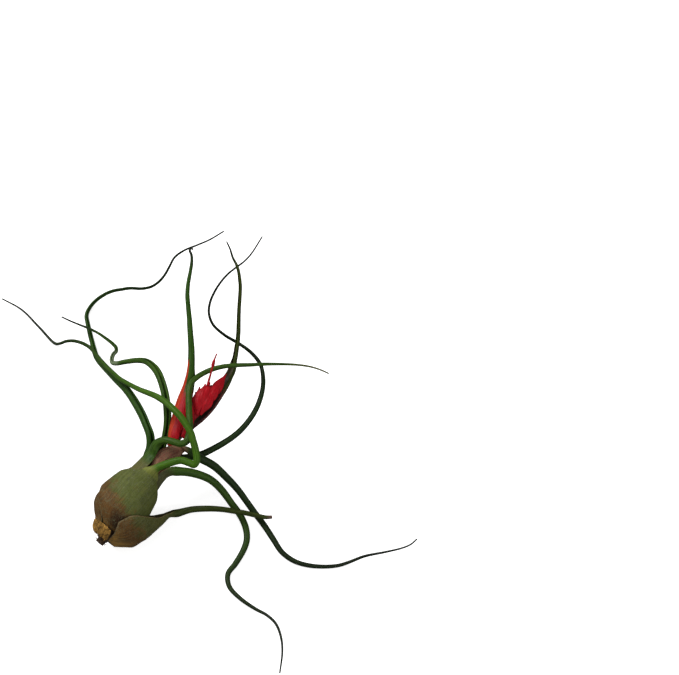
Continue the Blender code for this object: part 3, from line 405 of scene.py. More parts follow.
# Leafy bracts. shape rows: share of the length, arc radius, half width, wall, and how far the route lies at
# the centre of the arc (1) and not in its wall (0). colours: the body's, side strip's, blade's and tip's.
# strip: the angle across where the side strip starts (negative on the left), and the share of the length
# that it reaches. blade: the shares of the length between which the blade's colour takes over.
BRACTS = {
    "scape_leaf_left": {
        "route": (
            (170.4, 446.5, 28.6), (172.6, 438.0, 31.8), (174.2, 430.0, 32.9), (177.4, 420.0, 33.6),
            (180.6, 408.0, 34.4), (184.3, 396.0, 35.0), (187.6, 385.0, 35.4), (190.2, 375.0, 36.6),
            (191.2, 365.0, 38.0), (191.4, 351.0, 40.0), (190.6, 337.0, 42.2), (189.6, 322.0, 44.4),
            (188.2, 306.5, 46.6), (187.4, 295.0, 48.4), (188.2, 283.5, 50.2), (190.3, 272.0, 52.2),
            (191.8, 261.0, 54.0), (191.4, 254.6, 55.0), (189.8, 250.6, 55.6), (190.6, 247.6, 56.0),
            (193.0, 249.6, 56.2),
        ),
        "shape": (
            (0.0, 3.4, 2.1, 0.9, 0.0), (0.047, 4.4, 3.0, 0.9, 0.0), (0.143, 5.4, 4.4, 0.9, 0.0),
            (0.238, 5.0, 4.5, 0.9, 0.0), (0.314, 3.0, 4.3, 1.0, 0.2), (0.4, 1.8, 4.5, 1.3, 1.0),
            (0.524, 1.5, 3.93, 1.08, 1.0), (0.714, 1.15, 3.0, 0.83, 1.0), (0.886, 0.85, 2.2, 0.6, 1.0),
            (1.0, 0.5, 1.3, 0.36, 1.0),
        ),
        "outward": TO_VIEWER * 0.9 - RIGHTWARDS * 0.35,
        "colours": ("crimson", "orange_red", "mid_green", "dark_tip"),
        "strip": (-6.0, 0.46),
        "blade": (0.19, 0.35),
        "slot": "orange_red_bract",
    },
    "scape_leaf_right": {
        "route": (
            (189.2, 432.0, 28.3), (193.6, 427.2, 29.1), (200.2, 421.8, 29.0), (207.5, 414.6, 28.8),
            (214.0, 406.4, 29.0), (219.0, 398.6, 29.2), (225.3, 388.2, 29.4), (230.2, 378.0, 29.8),
            (232.8, 369.5, 30.2), (234.0, 362.0, 31.0), (235.4, 355.5, 32.0), (236.5, 348.5, 33.2),
            (237.7, 340.8, 34.6), (238.4, 332.7, 36.0), (238.7, 320.4, 38.4), (239.0, 310.2, 40.4),
            (239.9, 296.0, 43.0), (240.3, 286.0, 44.6), (239.6, 278.4, 45.6), (238.4, 270.7, 46.4),
            (236.4, 264.6, 46.8), (232.8, 257.6, 47.0), (230.2, 249.3, 46.8), (226.6, 241.6, 46.2),
        ),
        "shape": (
            (0.0, 2.4, 2.2, 0.9, 0.0), (0.08, 3.8, 3.6, 0.9, 0.0), (0.16, 5.0, 5.2, 0.9, 0.0),
            (0.25, 5.0, 5.4, 0.9, 0.0), (0.33, 3.2, 4.4, 0.9, 0.1), (0.42, 1.3, 3.4, 0.95, 1.0),
            (0.6, 1.0, 2.62, 0.72, 1.0), (0.8, 0.85, 2.2, 0.6, 1.0), (0.9, 0.6, 1.57, 0.43, 1.0),
            (1.0, 0.34, 0.89, 0.25, 1.0),
        ),
        "outward": 0.85 * (0.84 * RIGHTWARDS - 0.54 * UPWARDS) - 0.45 * TO_VIEWER,
        "colours": ("maroon", "bronze", "dull_green", "dark_tip"),
        "strip": (10.0, 0.5),
        "blade": (0.12, 0.36),
        "slot": "maroon_bract",
    },
    "stalk_bract": {
        "route": (
            (182.6, 438.0, 30.9), (185.6, 433.0, 31.8), (188.8, 427.0, 32.8), (190.8, 420.0, 34.0),
            (191.4, 411.0, 35.0), (191.6, 402.0, 35.6),
        ),
        "shape": (
            (0.0, 2.8, 2.4, 0.8, 0.0), (0.35, 3.0, 2.6, 0.8, 0.0), (0.7, 2.6, 1.6, 0.75, 0.0),
            (1.0, 1.2, 0.45, 0.7, 0.0),
        ),
        "outward": TO_VIEWER * 0.9 + RIGHTWARDS * 0.25,
        "colours": ("crimson", "maroon", "crimson", "maroon"),
        "strip": (30.0, 1.0),
        "blade": (0.9, 1.0),
        "slot": "crimson_bract",
    },
}

SPIKE_BRACTS = (
    # base of the bract, its tip (both right, down, height), half width, and which way its back faces
    ((197.6, 415.5, 32.6), (195.8, 392.0, 35.0), 2.9, 1),
    ((197.0, 415.0, 33.2), (199.6, 387.0, 35.6), 3.0, 1),
    ((198.5, 410.0, 33.8), (205.4, 384.0, 36.4), 3.1, 1),
    ((201.0, 405.0, 33.8), (210.0, 382.4, 35.8), 2.9, 1),
    ((200.5, 415.0, 32.6), (213.0, 389.0, 35.2), 3.0, 1),
    ((204.0, 408.0, 33.2), (219.6, 381.0, 34.6), 2.9, 1),
    ((207.5, 402.0, 32.8), (226.3, 374.0, 33.8), 2.6, 1),
    ((198.0, 414.0, 31.0), (202.0, 389.0, 31.8), 3.0, -1),
    ((201.5, 408.0, 31.0), (211.6, 384.8, 31.8), 2.9, -1),
    ((206.0, 403.0, 31.0), (220.6, 383.6, 31.8), 2.6, -1),
    # the core, as three slender ones
    ((193.0, 420.8, 31.6), (203.0, 392.0, 33.6), 2.3, 1),
    ((193.6, 420.4, 31.2), (213.0, 389.0, 33.0), 2.2, 1),
    ((193.6, 420.0, 30.8), (213.0, 389.0, 31.8), 2.2, -1),
)

# How far a bract of the spike rises for one unit of its shape's height, in mm.
SPIKE_BRACT_DEPTH = 2.2
FLOWER_TINTS = ("crimson", "orange_red", "crimson", "crimson")

STYLE_ROUTE = (
    (207.8, 385.4, 37.0), (208.8, 380.6, 37.7), (210.4, 375.0, 39.2), (211.6, 370.4, 40.6),
    (213.2, 364.0, 42.0), (214.6, 359.0, 43.0), (216.8, 353.6, 44.0),
)
STYLE_RADII = ((0.0, 0.7), (0.3, 0.5), (0.55, 0.45), (0.64, 0.85), (0.74, 0.75), (0.82, 0.4), (1.0, 0.34))

STEM_ROWS = (
    # along the axis, radius, aside
    (0.8, 0.9, 0.6), (-2.0, 1.1, 0.8), (-2.3, 2.0, 0.8), (-0.6, 2.2, 0.6), (0.6, 3.0, 0.2), (3.0, 4.4, 0.0),
    (8.0, 7.0, 0.0), (14.0, 8.1, 0.0), (21.0, 7.9, 0.0), (27.0, 6.8, 0.0), (33.0, 5.5, 0.0), (38.0, 4.2, 0.0),
    (43.0, 2.7, 0.0), (48.0, 1.7, 0.0),
)
STALK_RADIUS = 1.6
STALK_ROUTE = ((177.0, 439.0, 28.5), (187.0, 428.0, 30.2), (192.2, 421.4, 31.2))

DRY_SCALE_ROWS = (
    (0.3, -22, 38, 6.6, 6.6), (1.2, -24, 42, 7.7, 7.7), (2.4, -25, 37, 9.0, 9.0), (4.0, -26, 33, 10.5, 10.5),
    (5.4, -24, 26, 11.6, 11.6),
)


# Settings

class AirPlantLeafSettings(bpy.types.PropertyGroup):
    sheath_gap: FloatProperty(
        name="Sheath rings", description="Distance between the rings of a sheath", default=0.6 * MM,
        min=0.2 * MM, subtype="DISTANCE", unit="LENGTH",
    )
    blade_gap: FloatProperty(
        name="Blade rings", description="Longest distance between the rings of a blade", default=1.5 * MM,
        min=0.3 * MM, subtype="DISTANCE", unit="LENGTH",
    )
    blade_turn: FloatProperty(
        name="Blade turn", description="Largest turn from one ring of a blade to the next",
        default=math.radians(5), subtype="ANGLE", unit="ROTATION",
    )
    lump: FloatProperty(
        name="Lumps", description="Height of the soft lumps on the sheaths", default=0.16 * MM,
        subtype="DISTANCE", unit="LENGTH",
    )
    rib: FloatProperty(
        name="Ribs", description="Height of the fine ribs that run along a sheath", default=0.03 * MM,
        subtype="DISTANCE", unit="LENGTH",
    )
    margin_wave: FloatProperty(
        name="Margin wave", description="How much the margins wander, as a share of the half angle",
        default=0.03, min=0.0, max=0.2,
    )
    fold: FloatProperty(
        name="Foot folds", description="Depth of the folds where the sheaths gather at the foot",
        default=0.35 * MM, subtype="DISTANCE", unit="LENGTH",
    )


class AirPlantScurfSettings(bpy.types.PropertyGroup):
    density: FloatProperty(
        name="Density", description="Scales on each square metre of sheath", default=4.2e6, min=0.0,
    )
    size: FloatProperty(
        name="Size", description="Width of the largest scales", default=0.34 * MM, subtype="DISTANCE",
        unit="LENGTH",
    )
    seed: IntProperty(name="Seed", description="Number that sets where the scales lie", default=7)
    colour: FloatVectorProperty(
        name="Colour", description="Colour of the silvery scales", default=(0.17, 0.18, 0.10), size=3,
        subtype="COLOR", min=0.0, max=1.0,
    )


class AirPlantFootSettings(bpy.types.PropertyGroup):
    fibres: IntProperty(name="Fibres", description="Dry fibres round the root stub", default=34, min=0)
    fibre_length: FloatProperty(
        name="Fibre length", description="Length of the longest fibre", default=3.2 * MM,
        subtype="DISTANCE", unit="LENGTH",
    )
    fibre_width: FloatProperty(
        name="Fibre width", description="Thickness of a fibre at its base", default=0.28 * MM,
        subtype="DISTANCE", unit="LENGTH",
    )
    seed: IntProperty(name="Seed", description="Number that sets how the fibres lie", default=3)


class AirPlantStageSettings(bpy.types.PropertyGroup):
    table_side: FloatProperty(
        name="Table side", description="Side of the square table top", default=4.0, subtype="DISTANCE",
        unit="LENGTH",
    )
    table_colour: FloatVectorProperty(
        name="Table colour", description="Colour of the pale table top", default=(0.86, 0.86, 0.85), size=3,
        subtype="COLOR", min=0.0, max=1.0,
    )
    key_power: FloatProperty(
        name="Key light", description="Power of the key light", default=9.5, unit="POWER",
    )
    fill_power: FloatProperty(
        name="Fill light", description="Power of the fill light", default=4.0, unit="POWER",
    )
    sky: FloatProperty(name="Sky", description="Strength of the pale surroundings", default=0.3, min=0.0)
    sensor: FloatProperty(name="Sensor", description="Width of the camera's sensor in mm", default=36.0)


# Node graphs

class Graph:
    """Adds nodes to a tree and links them: an input takes a socket or a plain value."""

    def __init__(self, tree):
        self.tree = tree

    def feed(self, socket, value):
        if isinstance(value, bpy.types.NodeSocket):
            self.tree.links.new(value, socket)
        else:
            socket.default_value = value

    def add(self, kind, inputs=None, **settings):
        node = self.tree.nodes.new(kind)
        for key, value in settings.items():
            setattr(node, key, value)
        for key, value in (inputs or {}).items():
            named = (made for made in node.inputs if key in (made.name, made.identifier))
            self.feed(node.inputs[key] if isinstance(key, int) else next(named), value)
        return node

    def math(self, operation, a, b, clamp=False):
        node = self.add("ShaderNodeMath", {0: a, 1: b}, operation=operation, use_clamp=clamp)
        return node.outputs[0]

    def plus(self, a, b, clamp=False):
        return self.math("ADD", a, b, clamp)

    def minus(self, a, b):
        return self.math("SUBTRACT", a, b)

    def times(self, a, b, clamp=False):
        return self.math("MULTIPLY", a, b, clamp)

    def over(self, a, b):
        return self.math("DIVIDE", a, b)

    def line(self, value, slope, start):
        return self.plus(self.times(value, slope), start)

    def around(self, value, size):
        """A value from 0 to 1, moved to lie around 0 and scaled to this size."""
        return self.times(self.minus(value, 0.5), size)

    def weigh(self, part, a, b):
        """This part of the first value with the rest of the second."""
        return self.plus(self.times(a, part), self.times(b, 1 - part))

    def fade(self, value, low, high, start=0.0, end=1.0):
        """Smooth step from start to end as the value goes from low to high."""
        places = {"Value": value, "From Min": low, "From Max": high, "To Min": start, "To Max": end}
        return self.add("ShaderNodeMapRange", places, interpolation_type="SMOOTHSTEP").outputs[0]

    def blend(self, share, a, b):
        node = self.add("ShaderNodeMix", data_type="RGBA", clamp_factor=True)
        for index, value in ((0, share), (6, a), (7, b)):
            colour = isinstance(value, tuple) and len(value) == 3
            self.feed(node.inputs[index], (*value, 1.0) if colour else value)
        return node.outputs[2]

    def tint(self, share, name):
        """The darker colour of a tint where the share is 0, the lighter one where it is 1."""
        return self.blend(share, *TINTS[name])

    def noise(self, vector, scale, detail=3.0, roughness=0.55, distortion=0.0):
        places = {"Vector": vector, "Scale": scale, "Detail": detail, "Roughness": roughness}
        return self.add("ShaderNodeTexNoise", {**places, "Distortion": distortion}).outputs["Fac"]

    def attribute(self, name):
        return self.add("ShaderNodeAttribute", attribute_name=name).outputs["Vector"]

    def split(self, vector):
        return self.add("ShaderNodeSeparateXYZ", {0: vector}).outputs

    def group(self, name, **inputs):
        """The outputs of a shared shader group, which is built when it is first asked for."""
        node = self.add("ShaderNodeGroup")
        node.node_tree = bpy.data.node_groups.get(name) or GROUPS[name]()
        for label, value in inputs.items():
            self.feed(node.inputs[label.replace("_", " ")], value)
        return node.outputs


def new_group(name, kind, inputs, outputs):
    """An empty node group with these sockets: name, socket type, and the default if there is one."""
    tree = bpy.data.node_groups.new(name, kind)
    for direction, sockets in (("INPUT", inputs), ("OUTPUT", outputs)):
        for label, socket, *default in sockets:
            made = tree.interface.new_socket(label, in_out=direction, socket_type="NodeSocket" + socket)
            if default:
                made.default_value = default[0]
    graph = Graph(tree)
    return tree, graph, graph.add("NodeGroupInput").outputs, graph.add("NodeGroupOutput").inputs


def mottle_group():
    """Cloudy patches with finer ones inside them."""
    tree, graph, given, result = new_group(
        "Mottle", "ShaderNodeTree",
        (("Position", "Vector"), ("Patch Size", "Float", 4.0 * MM), ("Contrast", "Float", 0.25)),
        (("Mask", "Float"),),
    )
    patches = graph.noise(given["Position"], graph.over(1.0, given["Patch Size"]), 4.0, 0.62, 0.4)
    low = graph.minus(0.5, given["Contrast"])
    high = graph.plus(0.5, given["Contrast"])
    graph.feed(result["Mask"], graph.fade(patches, low, high))
    return tree


def scurf_group():
    """Silvery flecks: small round spots that thicken in drifts."""
    tree, graph, given, result = new_group(
        "Scurf", "ShaderNodeTree",
        (("Position", "Vector"), ("Fleck Size", "Float", 0.4 * MM), ("Cover", "Float", 0.5)),
        (("Mask", "Float"), ("Height", "Float")),
    )
    scale = graph.over(1.0, given["Fleck Size"])
    cells = graph.add("ShaderNodeTexVoronoi", {"Vector": given["Position"], "Scale": scale})
    spot = graph.fade(cells.outputs["Distance"], 0.15, 0.55, 1.0, 0.0)
    drift = graph.fade(graph.noise(given["Position"], DRIFT_SCALE, 3.0, 0.6), 0.38, 0.66)
    graph.feed(result["Mask"], graph.times(graph.times(spot, drift), given["Cover"], clamp=True))
    graph.feed(result["Height"], graph.times(spot, given["Cover"]))
    return tree


def fibre_group():
    """Fine lines that run along a leaf. Way holds the distances across and along it in mm."""
    tree, graph, given, result = new_group(
        "Fibre Lines", "ShaderNodeTree",
        (("Way", "Vector"), ("Line Width", "Float", 0.5), ("Stretch", "Float", 22.0)),
        (("Lines", "Float"), ("Height", "Float")),
    )
    parts = graph.split(given["Way"])
    across = graph.over(parts["X"], given["Line Width"])
    along = graph.over(parts["Y"], graph.times(given["Line Width"], given["Stretch"]))
    place = graph.add("ShaderNodeCombineXYZ", {"X": across, "Y": along, "Z": parts["Z"]}).outputs[0]
    lines = graph.noise(place, 1.0, 2.0, 0.5)
    graph.feed(result["Lines"], graph.fade(lines, 0.34, 0.68))
    graph.feed(result["Height"], lines)
    return tree


def margin_group():
    """Ragged membranous edge, from how near a point lies to its leaf's margin."""
    tree, graph, given, result = new_group(
        "Papery Margin", "ShaderNodeTree",
        (("Nearness", "Float", 0.0), ("Position", "Vector"), ("Reach", "Float", 0.5)),
        (("Mask", "Float"),),
    )
    ragged = graph.around(graph.noise(given["Position"], RAGGED_SCALE, 3.0), 0.5)
    level = graph.plus(given["Nearness"], ragged)
    graph.feed(result["Mask"], graph.fade(level, graph.minus(1.0, given["Reach"]), 1.0))
    return tree


GROUPS = {
    "Mottle": mottle_group, "Scurf": scurf_group, "Fibre Lines": fibre_group, "Papery Margin": margin_group,
}


def start_finish(name, specular, roughness=0.5):
    """A new material: its graph, its Principled shader, and the place of a point on the object."""
    material = bpy.data.materials.new(name)
    material.use_nodes = True
    graph = Graph(material.node_tree)
    shader = material.node_tree.nodes["Principled BSDF"]
    shader.inputs["Roughness"].default_value = roughness
    shader.inputs["Specular IOR Level"].default_value = specular
    return material, graph, shader, graph.add("ShaderNodeTexCoord").outputs["Object"]


def mottled(graph, position, patch_size, contrast):
    return graph.group("Mottle", Position=position, Patch_Size=patch_size, Contrast=contrast)["Mask"]


def emboss(graph, shader, height, depth):
    bump = graph.add("ShaderNodeBump", {"Strength": 0.7, "Distance": depth, "Height": height})
    graph.feed(shader.inputs["Normal"], bump.outputs["Normal"])


def leaf_finish(name, colours, scurf_cover):
    """Sheath, rust, painted shade, foot, stub, blade, tip, margin and scurf, each over the one before it."""
    sheath_tint, blade_tint, tip_tint, _ = colours
    material, graph, shader, position = start_finish(name, 0.14)
    way = graph.attribute("way")
    rust, blade, tip = graph.split(graph.attribute("zone"))
    margin, stub, special = graph.split(graph.attribute("rim"))
    patches = mottled(graph, position, 4.2 * MM, 0.2)
    grain = mottled(graph, position, 1.1 * MM, 0.24)
    fibre = graph.group("Fibre Lines", Way=way, Line_Width=0.55)
    scurf = graph.group("Scurf", Position=position, Cover=scurf_cover)
    edge = graph.group("Papery Margin", Nearness=margin, Position=position, Reach=0.35)["Mask"]

    texture = graph.weigh(0.6, patches, grain)
    streaked = graph.weigh(0.45, fibre["Lines"], texture)
    wander = graph.around(texture, 0.8)
    sheath = graph.tint(streaked, sheath_tint)
    # On a sheath the zone's third value is painted shade, a deep brown laid low on its lower right; on a
    # blade it is the tip.
    for mark, tint in ((rust, "rust"), (tip, "painted_shade")):
        cover = graph.fade(graph.plus(mark, wander), 0.1, 0.9)
        sheath = graph.blend(cover, sheath, graph.tint(streaked, tint))
    sheath = graph.blend(graph.times(special, 0.85), sheath, graph.tint(streaked, "foot"))
    paper = graph.blend(0.3, sheath, graph.tint(grain, "margin"))
    sheath = graph.blend(graph.split(way)["Z"], sheath, paper)

    lines = graph.weigh(0.7, fibre["Lines"], grain)
    rolled = graph.tint(lines, blade_tint)
    rolled = graph.blend(graph.times(special, 0.8), rolled, graph.tint(lines, "pale"))
    tip_wander = graph.times(graph.around(grain, 0.2), graph.fade(tip, 0.0, 0.2))
    rolled = graph.blend(graph.plus(tip, tip_wander, clamp=True), rolled, graph.tint(lines, tip_tint))

    colour = graph.blend(blade, sheath, rolled)
    colour = graph.blend(stub, colour, graph.tint(streaked, "stub"))
    in_sheath = graph.minus(1.0, blade)
    colour = graph.blend(graph.times(edge, in_sheath), colour, graph.tint(grain, "margin"))
    dusting = graph.times(scurf["Mask"], graph.line(in_sheath, 0.75, 0.25))
    colour = graph.blend(graph.times(dusting, 0.5), colour, LEAF_DUST)
    graph.feed(shader.inputs["Base Color"], colour)
    sheath_gloss = graph.times(graph.line(grain, 0.12, 0.56), in_sheath)
    blade_gloss = graph.times(graph.line(fibre["Lines"], 0.12, 0.36), blade)
    graph.feed(shader.inputs["Roughness"], graph.plus(sheath_gloss, blade_gloss))
    relief = graph.plus(fibre["Height"], graph.times(scurf["Height"], 0.5))
    emboss(graph, shader, graph.plus(relief, graph.times(grain, 0.4)), 0.16 * MM)
    return material


def bract_finish(name, colours):
    """A waxy bract: body, side strip, blade and tip colours, with fine veins."""
    body_tint, strip_tint, blade_tint, tip_tint = colours
    material, graph, shader, position = start_finish(name, 0.1)
    strip, blade, tip = graph.split(graph.attribute("zone"))
    grain = mottled(graph, position, 1.8 * MM, 0.22)
    fibre = graph.group("Fibre Lines", Way=graph.attribute("way"), Line_Width=0.42, Stretch=16.0)
    scurf = graph.group("Scurf", Position=position, Cover=0.25)["Mask"]
    lines = graph.weigh(0.65, fibre["Lines"], grain)
    bladed = graph.fade(graph.plus(blade, graph.around(grain, 0.3)), 0.25, 0.8)
    colour = graph.tint(lines, body_tint)
    for share, tint in ((strip, strip_tint), (bladed, blade_tint), (tip, tip_tint)):
        colour = graph.blend(share, colour, graph.tint(lines, tint))
    graph.feed(shader.inputs["Base Color"], graph.blend(graph.times(scurf, 0.2), colour, BRACT_DUST))
    graph.feed(shader.inputs["Roughness"], graph.line(lines, 0.14, 0.36))
    emboss(graph, shader, graph.plus(fibre["Height"], graph.times(grain, 0.3)), 0.15 * MM)
    return material


def dry_finish(name, tint, depth):
    """Dead tissue: papery scale, bark or fibre."""
    material, graph, shader, position = start_finish(name, 0.2)
    grain = mottled(graph, position, 0.7 * MM, 0.2)
    both = graph.weigh(0.55, mottled(graph, position, 3.4 * MM, 0.12), grain)
    graph.feed(shader.inputs["Base Color"], graph.tint(both, tint))
    graph.feed(shader.inputs["Roughness"], graph.line(grain, 0.2, 0.68))
    emboss(graph, shader, both, depth)
    return material


def scale_finish(name, colour):
    """The silvery scales themselves."""
    material, graph, shader, position = start_finish(name, 0.2, 0.6)
    dull = tuple(0.35 * c for c in colour)
    shade = graph.blend(mottled(graph, position, 1.2 * MM, 0.3), dull, tuple(colour))
    graph.feed(shader.inputs["Base Color"], shade)
    return material


def table_finish(colour):
    """A pale matt table top whose shadows stay faint to the camera."""
    material, graph, shader, position = start_finish("table_finish", 0.1, 0.9)
    seen = graph.add("ShaderNodeLightPath").outputs["Is Camera Ray"]
    top = graph.blend(graph.noise(position, 60.0), tuple(colour), (0.9, 0.9, 0.9))
    dim = tuple(TABLE_DIM * c for c in colour)
    graph.feed(shader.inputs["Base Color"], graph.blend(seen, dim, top))
    glow = graph.blend(seen, (0.0, 0.0, 0.0), (TABLE_GLOW,) * 3)
    graph.feed(shader.inputs["Emission Color"], glow)
    shader.inputs["Emission Strength"].default_value = 1.0
    return material


# Lofted shapes

def spline(points, per_span=36):
    """Dense points of a centripetal Catmull-Rom curve through the given ones."""
    pts = [np.asarray(p, float) for p in points]
    pts = [2 * pts[0] - pts[1]] + pts + [2 * pts[-1] - pts[-2]]
    dense = []
    for i in range(1, len(pts) - 2):
        p0, p1, p2, p3 = pts[i - 1: i + 3]
        t1 = np.linalg.norm(p1 - p0) ** 0.5
        t2 = t1 + np.linalg.norm(p2 - p1) ** 0.5
        t3 = t2 + np.linalg.norm(p3 - p2) ** 0.5
        t = np.linspace(t1, t2, per_span, endpoint=False)[:, None]
        a1 = p0 * (t1 - t) / t1 + p1 * t / t1
        a2 = p1 * (t2 - t) / (t2 - t1) + p2 * (t - t1) / (t2 - t1)
        a3 = p2 * (t3 - t) / (t3 - t2) + p3 * (t - t2) / (t3 - t2)
        b1 = a1 * (t2 - t) / t2 + a2 * t / t2
        b2 = a2 * (t3 - t) / (t3 - t1) + a3 * (t - t1) / (t3 - t1)
        dense.append(b1 * (t2 - t) / (t2 - t1) + b2 * (t - t1) / (t2 - t1))
    return np.vstack(dense + [pts[-2]])


def distances(dense):
    """The distance gone at each of the dense points."""
    return np.concatenate([[0.0], np.cumsum(np.linalg.norm(np.diff(dense, axis=0), axis=1))])


def strides(dense, longest, largest_turn):
    """Places along dense points, close together in bends: (distance, point, tangent) of each."""
    gone = distances(dense)
    tangents = np.gradient(dense, gone, axis=0)
    tangents /= np.linalg.norm(tangents, axis=1)[:, None]
    cosines = np.clip((tangents[1:] * tangents[:-1]).sum(axis=1), -1.0, 1.0)
    loads = np.cumsum(np.diff(gone) / longest + np.arccos(cosines) / largest_turn)
    places = [(0.0, dense[0], tangents[0])]
    taken = 0.0
    for i, load in enumerate(loads, 1):
        if load - taken >= 1.0 or i == len(loads):
            places.append((gone[i], dense[i], tangents[i]))
            taken = load
    return places


def turned_along(normal, before, after):
    """The normal carried from one tangent to the next without twist."""
    normal = np.array(Vector(before).rotation_difference(Vector(after)) @ Vector(normal))
    return unit(normal - after * np.dot(normal, after))


def section(centre, tangent, normal, arc, halves, wall, shift=0.0, thin=SHEATH_MARGIN, power=SHEATH_POWER):
    """One section: an arc with a wall that thins to rounded margins.
    Returns the points, their places across from -1 to 1, how far they lie inside, and the ways out."""
    left, right = halves
    edge = wall * thin
    cap = np.pi * np.arange(1, CAP_POINTS + 1) / (CAP_POINTS + 1)
    bulge = edge / 2 * np.sin(cap) / arc
    sink = edge * (1 - np.cos(cap)) / 2
    outer = np.linspace(-left, right, OUTER_POINTS)
    inner = np.linspace(right, -left, INNER_POINTS)
    spread = np.where(inner > 0, inner / right, -inner / left)
    inner_depth = arc - wall * (1 - (1 - thin) * spread ** power)
    angles = np.concatenate([outer, right + bulge, inner, -left - bulge])
    depths = np.concatenate([np.full(OUTER_POINTS, arc), arc - sink, inner_depth, arc - sink[::-1]])
    inside = np.repeat([0.0, 0.5, 1.0, 0.5], [OUTER_POINTS, CAP_POINTS, INNER_POINTS, CAP_POINTS])
    out = np.cos(angles)[:, None] * normal + np.sin(angles)[:, None] * np.cross(tangent, normal)
    points = centre - normal * shift + out * depths[:, None]
    across = np.clip(np.where(angles > 0, angles / right, angles / left), -1.0, 1.0)
    return points, across, inside, out


def near_margin(across):
    """0 over most of a section, rising to 1 at its margins."""
    return np.abs(across) ** 10


def halve(ring, times):
    return tuple(part[::2 ** times] for part in ring)


def skin(rings):
    """Faces between rings; a ring may hold half as many points as the one before it."""
    faces = [tuple(range(len(rings[0])))[::-1]]
    start = 0
    for ring, after in zip(rings, rings[1:]):
        n, m = len(ring), len(after)
        there = start + n
        for i in range(m):
            j = (i + 1) % m
            if n == m:
                faces.append((start + i, start + j, there + j, there + i))
                continue
            first, mid, last = start + 2 * i, start + 2 * i + 1, start + (2 * i + 2) % n
            faces += [(first, mid, there + i), (mid, there + j, there + i), (mid, last, there + j)]
        start = there
    faces.append(tuple(range(start, start + len(rings[-1]))))
    return faces


def link(name, data):
    """A new object at the origin that holds this mesh, light or camera."""
    made = bpy.data.objects.new(name, data)
    bpy.context.scene.collection.objects.link(made)
    return made


def write_attribute(mesh, name, values):
    made = mesh.attributes.new(name, "FLOAT_VECTOR", "POINT")
    made.data.foreach_set("vector", np.asarray(values, np.float32).ravel())


def read_mark(mesh, name, part):
    """One of the three values of a mark, at each point of a mesh."""
    values = np.zeros(len(mesh.vertices) * 3, np.float32)
    mesh.attributes[name].data.foreach_get("vector", values)
    return values[part::3]


def mesh_piece(name, rings, finish, marks=None):
    """A smooth closed object at the origin, from rings in mm, with its faces pointing outwards."""
    mesh = bpy.data.meshes.new(name)
    mesh.from_pydata((np.vstack(rings) * MM).tolist(), [], skin(rings))
    for label, values in (marks or {}).items():
        write_attribute(mesh, label, np.vstack(values))
    work = bmesh.new()
    work.from_mesh(mesh)
    bmesh.ops.recalc_face_normals(work, faces=work.faces[:])
    if work.calc_volume(signed=True) < 0:
        bmesh.ops.reverse_faces(work, faces=work.faces[:])
    work.to_mesh(mesh)
    work.free()
    mesh.shade_smooth()
    mesh.materials.append(finish)
    return link(name, mesh)


def seat(piece, slot, *nodes):
    """Says what a finished piece rides on and which nodes it stands for, which it hides. The slot is not
    used.
    """
    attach(piece, BODY)
    if nodes:
        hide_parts(*nodes)


def finer_rows(rows, spacing):
    """Rows of a sheath read at even steps along the axis, with smooth values between the given ones."""
    full = [row if len(row) == 6 else (*row, SHEATH_WALL) for row in rows]
    dense = spline(full, 12)
    count = max(3, round((rows[-1][0] - rows[0][0]) / spacing))
    wanted = np.linspace(rows[0][0], rows[-1][0], count + 1)
    return [[float(np.interp(a, dense[:, 0], dense[:, k])) for k in range(6)] for a in wanted]


class Loft:
    """Collects rings with what their finish needs to know at each point: way (mm across, mm along,
    inside), zone and rim (shares from 0 to 1)."""

    def __init__(self):
        self.rings = []
        self.marks = {"way": [], "zone": [], "rim": []}

    def add(self, points, way, zone, rim):
        """way, zone and rim hold three values each, a number for the whole ring or one for each point."""
        self.rings.append(points)
        for label, values in (("way", way), ("zone", zone), ("rim", rim)):
            self.marks[label].append(np.column_stack([np.broadcast_to(v, len(points)) for v in values]))

    def piece(self, name, finish):
        return mesh_piece(name, self.rings, finish, self.marks)


def rustiness(points):
    """1 on the rusty lower left of the bulb, 0 on its green side."""
    toward = (points - from_drawing(*GREEN_EDGE)) @ (GREEN_WAY[0] * RIGHTWARDS + GREEN_WAY[1] * UPWARDS)
    return rise(toward, RUST_FADE, -RUST_FADE)


def greenness(leaf, along):
    """How far a sheath has turned to its blade's green, at a place along the axis in mm."""
    start = leaf.get("green_from", NEVER)
    return rise(along, start, start + GREEN_FADE)


def add_sheath(loft, leaf, rows, settings, seed):
    """Rings of a sheath about the bulb's axis, with lumps, ribs, gathered foot and wandering margins.
    Its zone is rust, green and painted shade (a deep brown low down on the lower right), its rim is margin,
    none and foot."""
    lump, rib, fold = (value / MM for value in (settings.lump, settings.rib, settings.fold))
    for along, heading, half, reach, arc, wall in rows:
        normal = round_the_bulb(heading)
        centre = on_axis(along) + normal * (reach - arc)
        half = math.radians(half)
        waves = [noise.noise(Vector((along / 3.0, side, seed))) for side in (0.0, 9.0)]
        halves = [half * (1 + settings.margin_wave * wave) for wave in waves]
        points, across, inside, out = section(centre, AXIS, normal, arc, halves, wall)
        width = arc * half
        relief = lump * rough(points, SHEATH_LUMP, seed)
        relief += rib * np.cos(across * width * 2 * math.pi / RIB_GAP) * (inside < 0.5)
        relief += fold * rise(along, *FOLD_RISE) * np.cos(across * half * FOLDS + seed)
        points = points + out * relief[:, None]
        points[:, 2] = np.maximum(points[:, 2], 0.0)
        rust = np.maximum(rustiness(points), rise(along, *RUST_RISE))
        # Painted shade: a deep brown laid where the sheath is low and on its lower right.
        aside = (points - centre) @ SIDE
        painted_shade = leaf.get("painted_shade", 0.0) * rise(along, *PAINTED_SHADE_RISE) * rise(aside, *PAINTED_SHADE_SIDE)
        loft.add(
            points,
            (across * width, along, inside),
            (rust, greenness(leaf, along), painted_shade),
            (near_margin(across), 0.0, rise(along, *FOOT_RISE)),
        )


